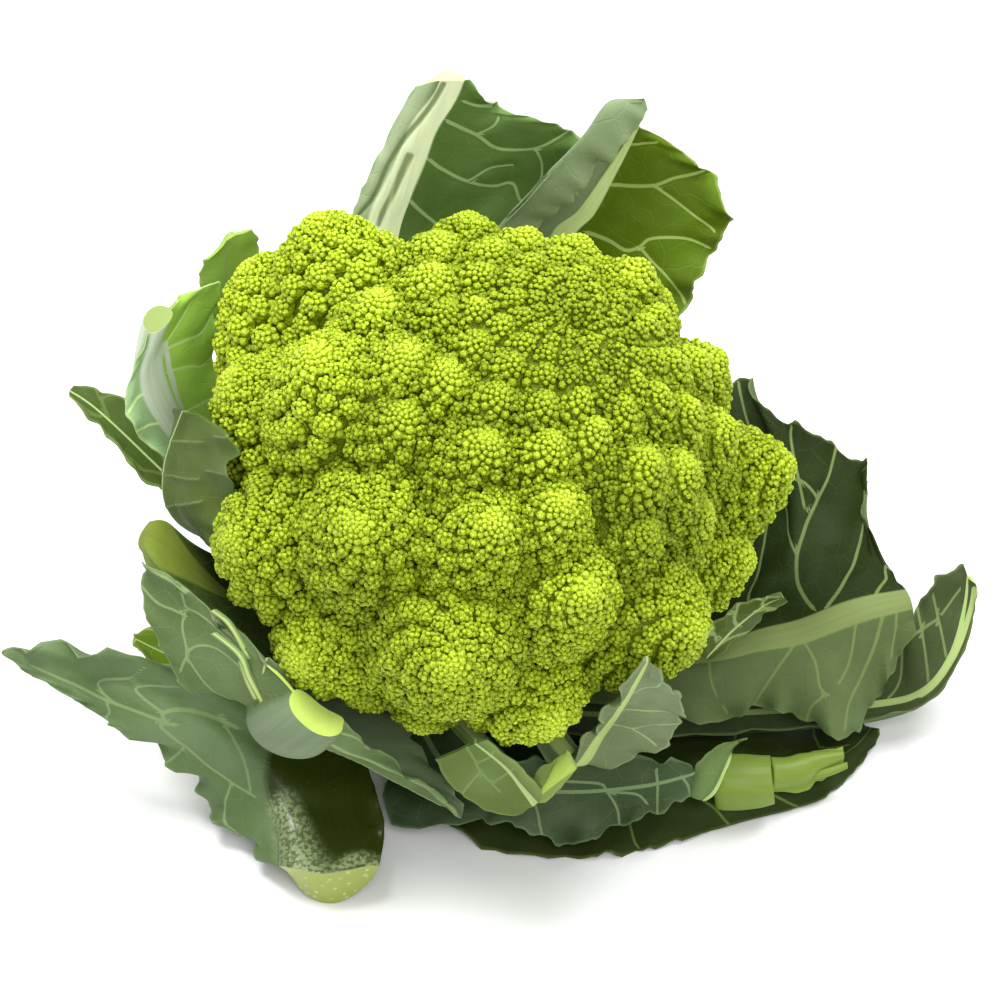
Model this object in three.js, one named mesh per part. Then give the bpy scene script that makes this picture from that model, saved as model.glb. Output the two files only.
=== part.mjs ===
// Romanesco: a leaning head of cone-shaped florets on a short cut stem, wrapped in trimmed leaves.
// Units are millimetres and +Z is up. The stem's cut foot and the lowest leaves rest on z = 0.
// +X is the side the head leans to and +Y is the side with the two tall leaves.

import * as THREE from 'three';
import { ConvexHull } from 'three/addons/math/ConvexHull.js';

// Where the whole plant sits: moved so its box is centred over the origin.
const SHIFT = [-0.06, -16.79, 0];

// Head: a dome set on a leaning axis.
const HEAD_CENTRE = [-11.6, 4.9, 58.6];
const HEAD_LEAN = [0.385, -0.141, 1];
const DOME_RADIUS = 85.5;
const DOME_HEIGHT = 88.4;
const DOME_POWER = 1.83;
const DOME_START = 1.095;

// Florets: each next one turns by the divergence angle and shrinks by one step.
const FLORET_COUNT = 118;
const FLORET_FIRST_ANGLE = 1.778;
const FLORET_TURN = THREE.MathUtils.degToRad(137.726);
const FLORET_SHRINK = 0.0245;
const FLORET_WIDTH = 0.46;
const FLORET_SLOPE = 1.15;
const FLORET_BLUNT = 0.16;
const FLORET_TILT = 0.5;
const FLORET_UNEVEN = 0.26;

// Florets pushed by hand from their place on the spiral, by number.
const FLORET_NUDGE = {
  0: [0, -10, 0],
  1: [8, 16, 10],
  2: [-5, -4, 20],
  3: [18, 3, 28],
  4: [-6, 12, 13],
  5: [0, -8, -4],
  6: [5, 0, -7],
  7: [-6, 4, 12],
  8: [0, -6, -12],
  11: [-6, 2, -13],
  13: [0, -6, -6],
  15: [6, -2, -1],
  16: [-8, 7, 3],
  17: [2, 3, 0],
  19: [-3, 8, 4],
  20: [-7, 2, 0],
  22: [5, 0, 0],
  24: [4, -4, 0],
  25: [-2, 4, 0],
  27: [-1, 5, 0],
  32: [2, -8, 0],
  38: [-3, 4, 1],
  46: [0, -9, -2],
  52: [6, 6, 1],
  58: [-3, -3, 0],
};

// Low florets that grew below the spiral's start: tip and width.
const LOW_FLORETS = [
  [[-37, -46, 51], 26],
  [[-20, -48, 43], 26],
];

// Bumps: each floret carries a small spiral of its own.
const BUMP_TURN = THREE.MathUtils.degToRad(137.5);
const BUMP_SHARE = 0.3;
const BUMP_LEAST = 5.5;
const BUMP_MOST = 8.8;
const BUMP_RISE = 0.25;

// Core under the florets: distance out from the axis and height along it, from top to bottom.
const CORE = [[0, 56], [34, 44], [52, 14], [50, -6], [38, -16], [20, -23], [0, -25]];
const CORE_POINTS = 500;
const CORE_EYE = 14;
const UNDERSIDE_LEVEL = 34;

// Stem: a short stump on the head's axis, cut level.
const STEM_FOOT = [-40, 2, 0];
const STEM_TOP = [-22.5, 7, 31];
const STEM_RADIUS_FOOT = 18;
const STEM_RADIUS_TOP = 20;
const STEM_SIDES = 40;

// Leaves: thickness of the blade and of the rib's edge.
const BLADE = 0.9;

const COLORS = {
  curd: 0xa9c32f,
  stem: 0xc7d78a,
  leaf_inner: 0x3f6b2c,
  leaf_outer: 0x6f9068,
};

function vec(p) {
  return new THREE.Vector3(p[0], p[1], p[2]);
}

function material(slot) {
  const m = new THREE.MeshStandardMaterial({ color: COLORS[slot], roughness: 0.6, metalness: 0 });
  m.name = slot;
  return m;
}

function meshFrom(name, slot, points, faces) {
  const flat = points.flatMap((p) => [p.x + SHIFT[0], p.y + SHIFT[1], p.z + SHIFT[2]]);
  const geometry = new THREE.BufferGeometry();
  geometry.setAttribute('position', new THREE.Float32BufferAttribute(flat, 3));
  geometry.setIndex(faces.flat());
  geometry.computeVertexNormals();
  const mesh = new THREE.Mesh(geometry, material(slot));
  mesh.name = name;
  return mesh;
}

// A repeatable stream of numbers between 0 and 1.
function seeded(seed) {
  let state = seed >>> 0;
  return () => {
    state = (Math.imul(state, 1664525) + 1013904223) >>> 0;
    return state / 4294967296;
  };
}

// Two directions across an axis.
function across(axis) {
  const first = new THREE.Vector3(0, 1, 0).cross(axis).normalize();
  const second = axis.clone().cross(first);
  return [first, second];
}

// Florets: where each tip is and how wide it stands.
function headFlorets() {
  const axis = vec(HEAD_LEAN).normalize();
  const [e1, e2] = across(axis);
  const eye = headEye();
  const florets = [];
  const add = (tip, width, turn) => {
    const dir = tip.clone().sub(eye);
    const reach = dir.length();
    dir.normalize();
    const up = axis.clone().addScaledVector(dir, -axis.dot(dir)).normalize();
    florets.push({ dir, up, reach, width, turn });
  };
  for (let k = 0; k < FLORET_COUNT; k += 1) {
    const u = DOME_START * Math.exp(-FLORET_SHRINK * k);
    const inside = Math.min(u, 1);
    const out = DOME_RADIUS * inside;
    const rise = DOME_HEIGHT * (1 - inside ** DOME_POWER) ** (1 / DOME_POWER);
    const drop = (u - inside) * DOME_RADIUS * 1.2;
    const turn = FLORET_FIRST_ANGLE + k * FLORET_TURN;
    const tip = vec(HEAD_CENTRE).addScaledVector(axis, rise - drop);
    tip.addScaledVector(e1, out * Math.cos(turn)).addScaledVector(e2, out * Math.sin(turn));
    tip.add(vec(FLORET_NUDGE[k] || [0, 0, 0]));
    const uneven = 1.08 - FLORET_UNEVEN * Math.cos(turn);
    const width = Math.max(FLORET_WIDTH * out * uneven, 6);
    add(tip, width, turn);
  }
  LOW_FLORETS.forEach(([tip, width]) => add(vec(tip), width, 0));
  return florets;
}

// The point inside the head from which its skin is measured.
function headEye() {
  return vec(HEAD_CENTRE).addScaledVector(vec(HEAD_LEAN).normalize(), CORE_EYE);
}

// How far the core reaches at an angle from the head's axis.
function coreReach(angle) {
  const profile = CORE.map(([out, height]) => {
    const rise = height - CORE_EYE;
    return [Math.atan2(out, rise), Math.hypot(out, rise)];
  });
  for (let i = 0; i < profile.length - 1; i += 1) {
    const [from, near] = profile[i];
    const [to, far] = profile[i + 1];
    if (angle <= to) {
      return near + ((far - near) * (angle - from)) / (to - from);
    }
  }
  return profile[profile.length - 1][1];
}

// The skin in one direction: the highest floret there, or the core, cut level underneath.
// A floret falls off steeply on the side of the head's point and gently on its outer side.
function skin(florets, dir) {
  const eye = headEye();
  let reach = coreReach(dir.angleTo(vec(HEAD_LEAN)));
  let owner = -1;
  florets.forEach((floret, k) => {
    const angle = floret.dir.angleTo(dir);
    if (angle < 1) {
      const blunt = FLORET_BLUNT * floret.width;
      const away = Math.hypot(floret.reach * Math.sin(angle), blunt);
      const inward = floret.reach * dir.dot(floret.up);
      const here = floret.reach - (away - blunt) * (FLORET_SLOPE + (FLORET_TILT * inward) / away);
      if (here > reach) {
        reach = here;
        owner = k;
      }
    }
  });
  const level = dir.z < 0 ? (UNDERSIDE_LEVEL - eye.z) / dir.z : Infinity;
  return level < reach ? { reach: level, owner: -1 } : { reach, owner };
}

// Directions of the bump tips: a spiral round each floret's point, then an even spread on the core.
function bumpTips(florets) {
  const tips = [];
  const add = (dir, gap, owner, rise) => {
    const crowded = tips.some((tip) => tip.dir.angleTo(dir) * tip.reach < 0.62 * Math.min(gap, tip.gap));
    const here = skin(florets, dir);
    if (!crowded && here.owner === owner) {
      tips.push({ dir, gap, reach: here.reach + rise });
    }
  };
  florets.forEach((floret, k) => {
    const [f1, f2] = across(floret.dir);
    const gap = Math.min(Math.max(BUMP_SHARE * floret.width, BUMP_LEAST), BUMP_MOST);
    const count = Math.ceil(3.2 * (floret.width / gap) ** 2);
    for (let j = 0; j < count; j += 1) {
      const away = (gap * Math.sqrt(j / 3)) / floret.reach;
      const turn = floret.turn + j * BUMP_TURN;
      const dir = floret.dir.clone().addScaledVector(f1, away * Math.cos(turn));
      dir.addScaledVector(f2, away * Math.sin(turn)).normalize();
      add(dir, gap, k, j === 0 ? 0 : BUMP_RISE * gap);
    }
  });
  for (let i = 0; i < CORE_POINTS; i += 1) {
    const z = 1 - (2 * i + 1) / CORE_POINTS;
    const across = Math.sqrt(1 - z * z);
    const turn = i * BUMP_TURN;
    add(new THREE.Vector3(across * Math.cos(turn), across * Math.sin(turn), z), BUMP_MOST * 1.6, -1, 0);
  }
  return tips;
}

// The head's skin: bump tips joined in triangles, with a lower point between every pair and trio.
function makeHead() {
  const eye = headEye();
  const florets = headFlorets();
  const tips = bumpTips(florets);
  const marked = tips.map((tip, index) => Object.assign(tip.dir.clone(), { index }));
  const hull = new ConvexHull().setFromPoints(marked);
  const points = tips.map((tip) => tip.dir.clone().multiplyScalar(tip.reach).add(eye));
  const between = new Map();
  const low = (members) => {
    const key = [...members].sort((i, j) => i - j).join(' ');
    if (!between.has(key)) {
      const dir = new THREE.Vector3();
      members.forEach((i) => dir.add(tips[i].dir));
      dir.normalize();
      between.set(key, points.length);
      points.push(dir.clone().multiplyScalar(skin(florets, dir).reach).add(eye));
    }
    return between.get(key);
  };
  const faces = [];
  hull.faces.forEach((face) => {
    const corners = [face.edge, face.edge.next, face.edge.next.next];
    const [a, b, c] = corners.map((edge) => edge.head().point.index);
    const hub = low([a, b, c]);
    const round = [a, low([a, b]), b, low([b, c]), c, low([c, a])];
    round.forEach((corner, i) => faces.push([hub, corner, round[(i + 1) % 6]]));
  });
  return meshFrom('head', 'curd', points, faces);
}

function makeStem() {
  const foot = vec(STEM_FOOT);
  const top = vec(STEM_TOP);
  const random = seeded(7);
  const points = [];
  const faces = [];
  const waves = Array.from({ length: STEM_SIDES }, () => 0.985 + 0.03 * random());
  const levels = 5;
  for (let j = 0; j <= levels; j += 1) {
    const t = j / levels;
    const mid = foot.clone().lerp(top, t);
    const radius = STEM_RADIUS_FOOT + (STEM_RADIUS_TOP - STEM_RADIUS_FOOT) * t;
    for (let i = 0; i < STEM_SIDES; i += 1) {
      const turn = (i / STEM_SIDES) * Math.PI * 2;
      const r = radius * waves[i];
      points.push(new THREE.Vector3(mid.x + r * Math.cos(turn), mid.y + r * Math.sin(turn), mid.z));
    }
  }
  for (let j = 0; j < levels; j += 1) {
    for (let i = 0; i < STEM_SIDES; i += 1) {
      const a = j * STEM_SIDES + i;
      const b = j * STEM_SIDES + ((i + 1) % STEM_SIDES);
      faces.push([a, b, b + STEM_SIDES]);
      faces.push([a, b + STEM_SIDES, a + STEM_SIDES]);
    }
  }
  const low = points.length;
  points.push(foot.clone());
  points.push(top.clone());
  const last = levels * STEM_SIDES;
  for (let i = 0; i < STEM_SIDES; i += 1) {
    const next = (i + 1) % STEM_SIDES;
    faces.push([low, next, i]);
    faces.push([low + 1, last + i, last + next]);
  }
  return meshFrom('stem', 'stem', points, faces);
}

// One value of a smooth curve through evenly spaced values.
function smooth(values, t) {
  const span = values.length - 1;
  const x = Math.min(Math.max(t, 0), 1) * span;
  const i = Math.min(Math.floor(x), span - 1);
  const f = x - i;
  const at = (n) => values[Math.min(Math.max(n, 0), span)];
  const [a, b, c, d] = [at(i - 1), at(i), at(i + 1), at(i + 2)];
  const bend = (p, q, r, s) => {
    const square = 2 * p - 5 * q + 4 * r - s;
    const cube = 3 * (q - r) + s - p;
    return q + 0.5 * f * (r - p + f * (square + f * cube));
  };
  return Array.isArray(b) ? b.map((_, n) => bend(a[n], b[n], c[n], d[n])) : bend(a, b, c, d);
}

// A leaf is a sheet through rows of points, thin at the blade and thick along its rib.
// Each row runs from the left edge to the right edge as seen on the leaf's upper face.
function makeLeaf(name, spec) {
  const { slot, rows, rib, ribWidth, ribDepth, count, wave = 0, waves = 6 } = spec;
  const wide = rows[0].length;
  const sheet = [];
  const stations = [];
  for (let j = 0; j <= count; j += 1) {
    const t = j / count;
    const line = [];
    for (let c = 0; c < wide; c += 1) {
      line.push(smooth(rows.map((row) => row[c]), t));
    }
    stations.push({ t, line, half: smooth(ribWidth, t) / 2, deep: smooth(ribDepth, t) });
  }
  // Places across the sheet: more of them beside the rib.
  stations.forEach(({ t, line, half, deep }) => {
    const places = [];
    for (let c = 0; c < wide - 1; c += 1) {
      const length = vec(line[c]).distanceTo(vec(line[c + 1]));
      const near = Math.min((half * 0.55) / length, 0.4);
      const far = Math.min(half / length, 0.75);
      if (c === rib) {
        places.push([c, 0], [c, near], [c, far], [c, 0.5 * (1 + far)]);
      } else if (c === rib - 1) {
        places.push([c, 0], [c, 0.5 * (1 - far)], [c, 1 - far], [c, 1 - near]);
      } else {
        places.push([c, 0], [c, 0.5]);
      }
    }
    places.push([wide - 2, 1]);
    const middle = vec(line[rib]);
    sheet.push(places.map(([c, f]) => {
      const p = vec(smooth(line, (c + f) / (wide - 1)));
      const edge = Math.min(1, p.distanceTo(middle) / 30);
      const ripple = wave * edge * edge * Math.sin(t * waves * Math.PI * 2 + (c < rib ? 1.3 : 0));
      return { p, ripple, away: p.distanceTo(middle) / half, deep };
    }));
  });
  const across2 = sheet[0].length;
  const tops = [];
  const lows = [];
  sheet.forEach((row, j) => {
    row.forEach((cell, i) => {
      const ahead = sheet[Math.min(j + 1, count)][i].p.clone().sub(sheet[Math.max(j - 1, 0)][i].p);
      const side = row[Math.min(i + 1, across2 - 1)].p.clone().sub(row[Math.max(i - 1, 0)].p);
      const normal = side.cross(ahead).normalize();
      const swell = cell.away < 1 ? Math.sqrt(1 - cell.away * cell.away) : 0;
      const mid = cell.p.clone().addScaledVector(normal, cell.ripple);
      tops.push(mid.clone().addScaledVector(normal, BLADE / 2 + 0.12 * cell.deep * swell));
      lows.push(mid.clone().addScaledVector(normal, -BLADE / 2 - cell.deep * swell));
    });
  });
  const points = tops.concat(lows);
  const total = tops.length;
  const faces = [];
  const quad = (a, b, c, d) => {
    faces.push([a, b, c]);
    faces.push([a, c, d]);
  };
  for (let j = 0; j < count; j += 1) {
    for (let i = 0; i < across2 - 1; i += 1) {
      const a = j * across2 + i;
      const d = a + across2;
      faces.push([a, a + 1, d + 1], [a, d + 1, d]);
      faces.push([total + a, total + d + 1, total + a + 1], [total + a, total + d, total + d + 1]);
    }
    const left = j * across2;
    const right = left + across2 - 1;
    quad(left, left + across2, total + left + across2, total + left);
    quad(right + across2, right, total + right, total + right + across2);
  }
  for (let i = 0; i < across2 - 1; i += 1) {
    const end = count * across2 + i;
    quad(i + 1, i, total + i, total + i + 1);
    quad(end, end + 1, total + end + 1, total + end);
  }
  return meshFrom(name, slot, points, faces);
}

// Leaf shapes: rows of points from the stem to the tip, each from left edge to right edge.
const LEAVES = {
  leaf_back_left: {
    slot: 'leaf_inner', rib: 1, count: 14, wave: 0.8, waves: 3,
    ribWidth: [15, 16, 17, 16, 15, 14, 13, 12], ribDepth: [6, 6, 6, 5, 4.5, 4, 3.5, 3],
    rows: [
      [[-43, 26, 12], [-34, 27, 11], [-25, 26, 12]],
      [[-46, 60, 30], [-32, 63, 26], [-17, 62, 28]],
      [[-47, 88, 56], [-30, 93, 56], [-4, 91, 54]],
      [[-41, 100, 84], [-28, 99, 82], [18, 101, 80]],
      [[-35, 103, 100], [-24, 100, 98], [27, 106, 97]],
      [[-28, 104, 116], [-20, 100, 116], [17, 106, 114]],
      [[-24, 103, 126], [-17, 100, 127], [1, 104, 121]],
      [[-22, 102, 130], [-15, 100, 134], [-8, 101, 133]],
    ],
  },
  leaf_back_right: {
    slot: 'leaf_inner', rib: 2, count: 16, wave: 0.8, waves: 3,
    ribWidth: [12, 13, 13, 11, 9, 7, 5, 4, 3], ribDepth: [5, 6, 6, 5, 4, 3, 2.5, 2, 1.5],
    rows: [
      [[-20, 25, 19], [-19, 24, 17], [-13, 20, 16], [-7, 13, 18]],
      [[-8, 54, 15], [-9, 53, 12], [3, 46, 6.4], [16, 38, 11]],
      [[-2, 80, 36], [-5, 79, 33], [13, 76, 28], [35, 64, 32]],
      [[5, 88, 63], [-3, 90, 60], [16, 91, 57], [46, 78, 58]],
      [[8, 91, 86], [-2, 92, 87], [16, 95, 84], [50, 80, 76]],
      [[18, 89, 102], [9, 90, 107], [23, 96, 94], [58, 86, 92]],
      [[28, 90, 115], [21, 91, 122], [29, 98, 105], [61, 89, 98]],
      [[35, 92, 123], [29, 94, 131], [33, 99, 113], [53, 94, 110]],
      [[39, 95, 127], [37, 96, 131], [36, 99, 120], [41, 99, 117]],
    ],
  },
  leaf_right: {
    slot: 'leaf_inner', rib: 2, count: 14, wave: 0.7, waves: 4,
    ribWidth: [13, 14, 15, 15, 14, 12, 11, 11, 10], ribDepth: [5, 5, 5, 4.5, 4, 3.5, 3.5, 3, 3],
    rows: [
      [[-8, 12, 22], [-7, 8, 21], [-6, 3, 20], [-7, -5, 21]],
      [[16, 20, 25], [17, 10, 23], [18, -1, 22], [18, -13, 21]],
      [[46, 40, 32], [50, 16, 28], [50, -7, 29], [53, -19, 17]],
      [[62, 64, 62], [70, 34, 40], [67, -5, 33], [66, -15, 19]],
      [[71, 54, 60], [78, 30, 44], [77, -4, 35], [77, -17, 17]],
      [[88, 47, 54], [87, 24, 44], [88, -2, 39], [90, -19, 12]],
      [[97, 40, 52], [94, 20, 45], [95, -1, 41], [97, -13, 21]],
      [[94, 26, 49], [97, 12, 45], [100, -0.5, 42], [102, -9, 29]],
      [[101, 9, 45], [102, 5, 44], [105, 0, 43], [106, -4, 36]],
    ],
  },
  leaf_far_right: {
    slot: 'leaf_outer', rib: 1, count: 12, wave: 0.4, waves: 3,
    ribWidth: [12, 11, 10, 7, 5, 4.5, 4, 3], ribDepth: [4, 4, 3.5, 3, 2.5, 2, 2, 1.5],
    rows: [
      [[-14, 4, 9], [-14, -3, 8], [-15, -10, 9]],
      [[30, 3, 10], [32, -8, 8], [32, -16, 9]],
      [[70, 8, 13], [74, -7, 9], [75, -14, 10]],
      [[98, 8, 20], [99, -5, 10], [102, -9, 10]],
      [[106, 9, 26], [110, -4, 14], [113, -6, 14]],
      [[110, 13, 31], [117, 3, 20], [120, 2, 20]],
      [[113, 17, 34], [121, 13, 28], [124, 12, 28]],
      [[121, 20, 36.5], [122, 18, 34], [124, 16, 33.5]],
    ],
  },
  leaf_bottom_right: {
    slot: 'leaf_inner', rib: 1, count: 12, wave: 0, waves: 3,
    ribWidth: [10, 12, 13, 17, 10, 6, 4], ribDepth: [3, 3, 3.5, 4.5, 3, 2, 1.2],
    rows: [
      [[-14, -11, 6.5], [-18, -15, 5.5], [-24, -20, 6]],
      [[8, -10, 3], [6, -27, 5], [-6, -46, 1]],
      [[34, -6, 2], [34, -31, 5], [27, -50, 0.6]],
      [[58, -5, 2], [60, -32, 8], [62, -38, 0.6]],
      [[80, -4, 2], [79, -25, 5], [84, -29, 0.6]],
      [[93, -4, 2.5], [91, -16, 4], [97, -12, 1.5]],
      [[96, -7, 3.5], [97, -8, 4], [99, -8, 4]],
    ],
  },
  leaf_front_centre: {
    slot: 'leaf_outer', rib: 1, count: 12, wave: 0.6, waves: 3,
    ribWidth: [10, 9, 8, 7, 6, 5, 3], ribDepth: [3, 2.5, 2, 2, 1.5, 1.5, 1],
    rows: [
      [[-15, -16, 18], [-20, -19, 15], [-27, -24, 12]],
      [[-6, -32, 22], [-11, -36, 15], [-27, -43, 5]],
      [[5, -37, 23], [4, -41, 16], [0, -46, 9]],
      [[20, -38, 24], [20, -42, 16], [17, -51, 6]],
      [[36, -37, 23], [36, -41, 17], [34, -46, 10]],
      [[48, -36, 21], [48, -39, 18], [49, -43, 14]],
      [[51, -36, 20], [52, -37, 18.5], [52, -39, 17]],
    ],
  },
  leaf_front: {
    slot: 'leaf_outer', rib: 1, count: 14, wave: 0.8, waves: 3,
    ribWidth: [16, 20, 23, 25, 26, 26, 25], ribDepth: [6, 7, 7, 7, 7, 7, 6.5],
    rows: [
      [[-34, -21, 22], [-42, -22, 20], [-48, -22, 24], [-56, -23, 31]],
      [[-34, -27, 23], [-45, -28, 20], [-68, -28, 32], [-98, -22, 46]],
      [[-34, -34, 20], [-48, -35, 17], [-80, -29, 33], [-125, -17, 40]],
      [[-32, -41, 18], [-48, -41, 15], [-72, -35, 25], [-101, -29, 30]],
      [[-30, -47, 16], [-47, -47, 12], [-64, -40, 17], [-80, -34, 15]],
      [[-29, -53, 14], [-45, -54, 9], [-58, -47, 12], [-73, -42, 7]],
      [[-31, -62, 12], [-43, -67, 6.9], [-54, -60, 9], [-59, -55, 6]],
    ],
  },
  leaf_front_stub: {
    slot: 'leaf_outer', rib: 1, count: 12, wave: 0.6, waves: 3,
    ribWidth: [12, 15, 18, 18, 15], ribDepth: [5, 6, 7, 7, 6],
    rows: [
      [[-33, -18, 29], [-39, -18, 29.5], [-46, -14, 31]],
      [[-16, -40, 22], [-50, -33, 36], [-72, -36, 46]],
      [[-9, -47, 14], [-54, -44, 43], [-82, -36, 55]],
      [[-26, -50, 34], [-50, -53, 51], [-87, -25, 79]],
      [[-38, -54, 53], [-45, -54, 56], [-56, -47, 66]],
    ],
  },
  leaf_left_low: {
    slot: 'leaf_inner', rib: 1, count: 8, wave: 0.3, waves: 2,
    ribWidth: [8, 7, 5, 3], ribDepth: [3, 2.5, 1.5, 1],
    rows: [
      [[-48, -16, 18], [-52, -11, 18], [-54, -4, 19]],
      [[-68, -18, 28], [-71, -12, 28], [-73, -4, 29]],
      [[-83, -17, 37], [-86, -11, 38], [-87, -3, 39]],
      [[-92, -14, 41], [-93, -10, 42], [-93, -6, 42]],
    ],
  },
  leaf_left: {
    slot: 'leaf_outer', rib: 1, count: 8, wave: 0, waves: 2,
    ribWidth: [12, 14, 16, 15, 8], ribDepth: [4, 5, 5, 5, 3],
    rows: [
      [[-47, -8, 27], [-49, -1, 27], [-48, 6, 28]],
      [[-62, -17, 45], [-64, -8, 46], [-63, 3, 48]],
      [[-74, -24, 64], [-76, -15, 65], [-76, -6, 67]],
      [[-83, -22, 73], [-84, -14, 74], [-83, -7, 76]],
      [[-88, -17, 76], [-88, -13, 77], [-87, -9, 78]],
    ],
  },
  leaf_left_curl: {
    slot: 'leaf_outer', rib: 1, count: 10, wave: 0.4, waves: 3,
    ribWidth: [8, 8, 7, 5, 3], ribDepth: [3, 3, 2, 1.5, 1],
    rows: [
      [[-48, 9, 30], [-48, 13, 30], [-46, 17, 30]],
      [[-65, 5, 52], [-65, 11, 52], [-63, 18, 54]],
      [[-72, -13, 74], [-80, 1, 72], [-78, 14, 74]],
      [[-66, -5, 86], [-82, 5, 83], [-78, 18, 86]],
      [[-71, 1, 97], [-78, 11, 94], [-76, 18, 95]],
    ],
  },
  leaf_left_back: {
    slot: 'leaf_outer', rib: 1, count: 12, wave: 0.5, waves: 3,
    ribWidth: [11, 12, 12, 11, 9, 8], ribDepth: [4, 5, 5, 4.5, 4, 4],
    rows: [
      [[-48, 17, 27], [-45, 23, 26], [-40, 28, 27]],
      [[-66, 20, 46], [-64, 29, 46], [-56, 39, 48]],
      [[-83, 22, 68], [-80, 31, 67], [-70, 46, 70]],
      [[-93, 24, 80], [-87, 32, 82], [-74, 50, 88]],
      [[-95, 28, 86], [-89, 34, 94], [-72, 53, 104]],
      [[-89, 34, 103], [-86, 37, 105], [-80, 43, 108]],
    ],
  },
  leaf_far_left: {
    slot: 'leaf_inner', rib: 1, count: 8, wave: 0.3, waves: 2,
    ribWidth: [8, 7, 6, 4, 2.5], ribDepth: [3, 2.5, 2, 1.5, 1],
    rows: [
      [[-54, 15, 13], [-53, 21, 12], [-49, 27, 13]],
      [[-75, 31, 30], [-74, 40, 29], [-68, 49, 30]],
      [[-95, 43, 48], [-95, 51, 48], [-90, 60, 50]],
      [[-107, 54, 56], [-107, 58, 57], [-104, 64, 58]],
      [[-114, 61, 59], [-114, 62.5, 59.5], [-113, 64, 60]],
    ],
  },
  leaf_back_scrap: {
    slot: 'leaf_inner', rib: 1, count: 8, wave: 0.3, waves: 2,
    ribWidth: [8, 8, 6, 4, 3], ribDepth: [3, 3, 2, 1.5, 1],
    rows: [
      [[-43, 29, 25], [-39, 31, 24], [-33, 31, 25]],
      [[-62, 49, 45], [-57, 54, 44], [-50, 58, 45]],
      [[-75, 58, 78], [-69, 62, 78], [-60, 67, 80]],
      [[-77, 60, 100], [-71, 63, 102], [-62, 66, 104]],
      [[-75, 59, 108], [-69, 62, 112], [-63, 63, 114]],
    ],
  },
  small_leaf_right: {
    slot: 'leaf_outer', rib: 1, count: 8, wave: 0.4, waves: 3,
    ribWidth: [4, 4, 3, 2], ribDepth: [1.2, 1.2, 1, 0.8],
    rows: [
      [[49, -18, 41], [52, -15, 37], [53, -13, 34]],
      [[54, -11, 45], [59, -9, 41], [63, -7, 38]],
      [[64, -6, 49], [67, -4, 45], [69, -3, 42]],
      [[71, -4, 47], [72, -2, 46], [73, -1, 44]],
    ],
  },
  small_leaf_front_left: {
    slot: 'leaf_inner', rib: 1, count: 10, wave: 0.2, waves: 2,
    ribWidth: [5, 4.5, 4, 3.5, 3, 2.5], ribDepth: [2, 2, 1.6, 1.4, 1.2, 1],
    rows: [
      [[-21, -20, 29], [-19, -18, 29], [-16, -17, 29]],
      [[-8, -38, 28], [-5, -37, 28], [-2, -36, 28]],
      [[4, -55, 23], [8, -54, 25], [11, -52, 27]],
      [[-4, -57, 24], [5, -57, 31], [8, -56, 32]],
      [[-11, -58, 31], [1, -58, 38], [4, -58, 39]],
      [[-16, -56, 39], [-6, -56, 44], [-3, -56, 45]],
    ],
  },
  small_leaf_front_right: {
    slot: 'leaf_outer', rib: 1, count: 10, wave: 0.5, waves: 3,
    ribWidth: [6, 6, 7, 5, 3.5, 2.5], ribDepth: [2.5, 2.5, 3, 2, 1.5, 1],
    rows: [
      [[-9, -14, 29], [-7, -11, 29], [-5, -8, 29]],
      [[5, -30, 29], [8, -28, 29], [11, -25, 29]],
      [[14, -45, 27], [18, -43, 27], [24, -40, 25]],
      [[21, -44, 36], [25, -42, 37], [40, -40, 30]],
      [[27, -50, 53], [30, -48, 53], [45, -43, 46]],
      [[33, -57, 71], [34.5, -56, 70], [38, -54, 65]],
    ],
  },
};

const group = new THREE.Group();
group.name = 'romanesco';
group.add(makeHead());
group.add(makeStem());
Object.entries(LEAVES).forEach(([name, spec]) => group.add(makeLeaf(name, spec)));

export default group;
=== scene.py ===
# %% [markdown]
# # A romanesco with its trimmed leaves
# A romanesco is one plant: a head of cone-shaped florets set in a spiral, a short cut stem under it, and
# leaves that were trimmed with a knife. The solids of the frame give each piece its place and main form.
# This lesson gives every piece a finer mesh in the same place, and a finish made from nodes.

# %% Load the frame
import math

import bpy
import numpy as np
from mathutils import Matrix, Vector


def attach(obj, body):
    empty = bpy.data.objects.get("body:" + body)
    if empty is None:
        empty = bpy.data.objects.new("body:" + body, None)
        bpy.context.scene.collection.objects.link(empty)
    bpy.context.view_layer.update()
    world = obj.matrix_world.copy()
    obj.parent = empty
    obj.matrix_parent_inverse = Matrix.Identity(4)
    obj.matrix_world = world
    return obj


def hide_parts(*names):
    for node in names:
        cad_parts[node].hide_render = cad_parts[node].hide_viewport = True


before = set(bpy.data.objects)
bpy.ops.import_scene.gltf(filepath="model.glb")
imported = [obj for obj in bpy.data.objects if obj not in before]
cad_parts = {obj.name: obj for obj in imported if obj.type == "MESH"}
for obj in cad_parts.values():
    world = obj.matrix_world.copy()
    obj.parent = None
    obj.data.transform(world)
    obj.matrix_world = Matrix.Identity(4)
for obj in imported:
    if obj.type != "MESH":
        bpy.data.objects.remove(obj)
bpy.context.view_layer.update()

MM = 0.001
PLANT_SHIFT = np.array([-0.06, -16.79, 0.0])
scene = bpy.context.scene
print("solids in the frame:", len(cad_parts))

# %% [markdown]
# ## Camera
# The picture was taken from the front, a good way above the table. A long lens from one metre keeps the
# leaves in front from looking too big. The camera aims at a point in the lower half of the head.

# %% Camera
CAMERA_RISE = math.radians(42)
CAMERA_AIM = np.array([0.0, 19.0, 60.0])
CAMERA_DISTANCE = 1000.0
CAMERA_LENS, CAMERA_SENSOR = 140.4, 36


def to_frame(points):
    """Millimetres in the plant's own place become metres in the frame."""
    return (np.asarray(points, float) + PLANT_SHIFT) * MM


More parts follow.
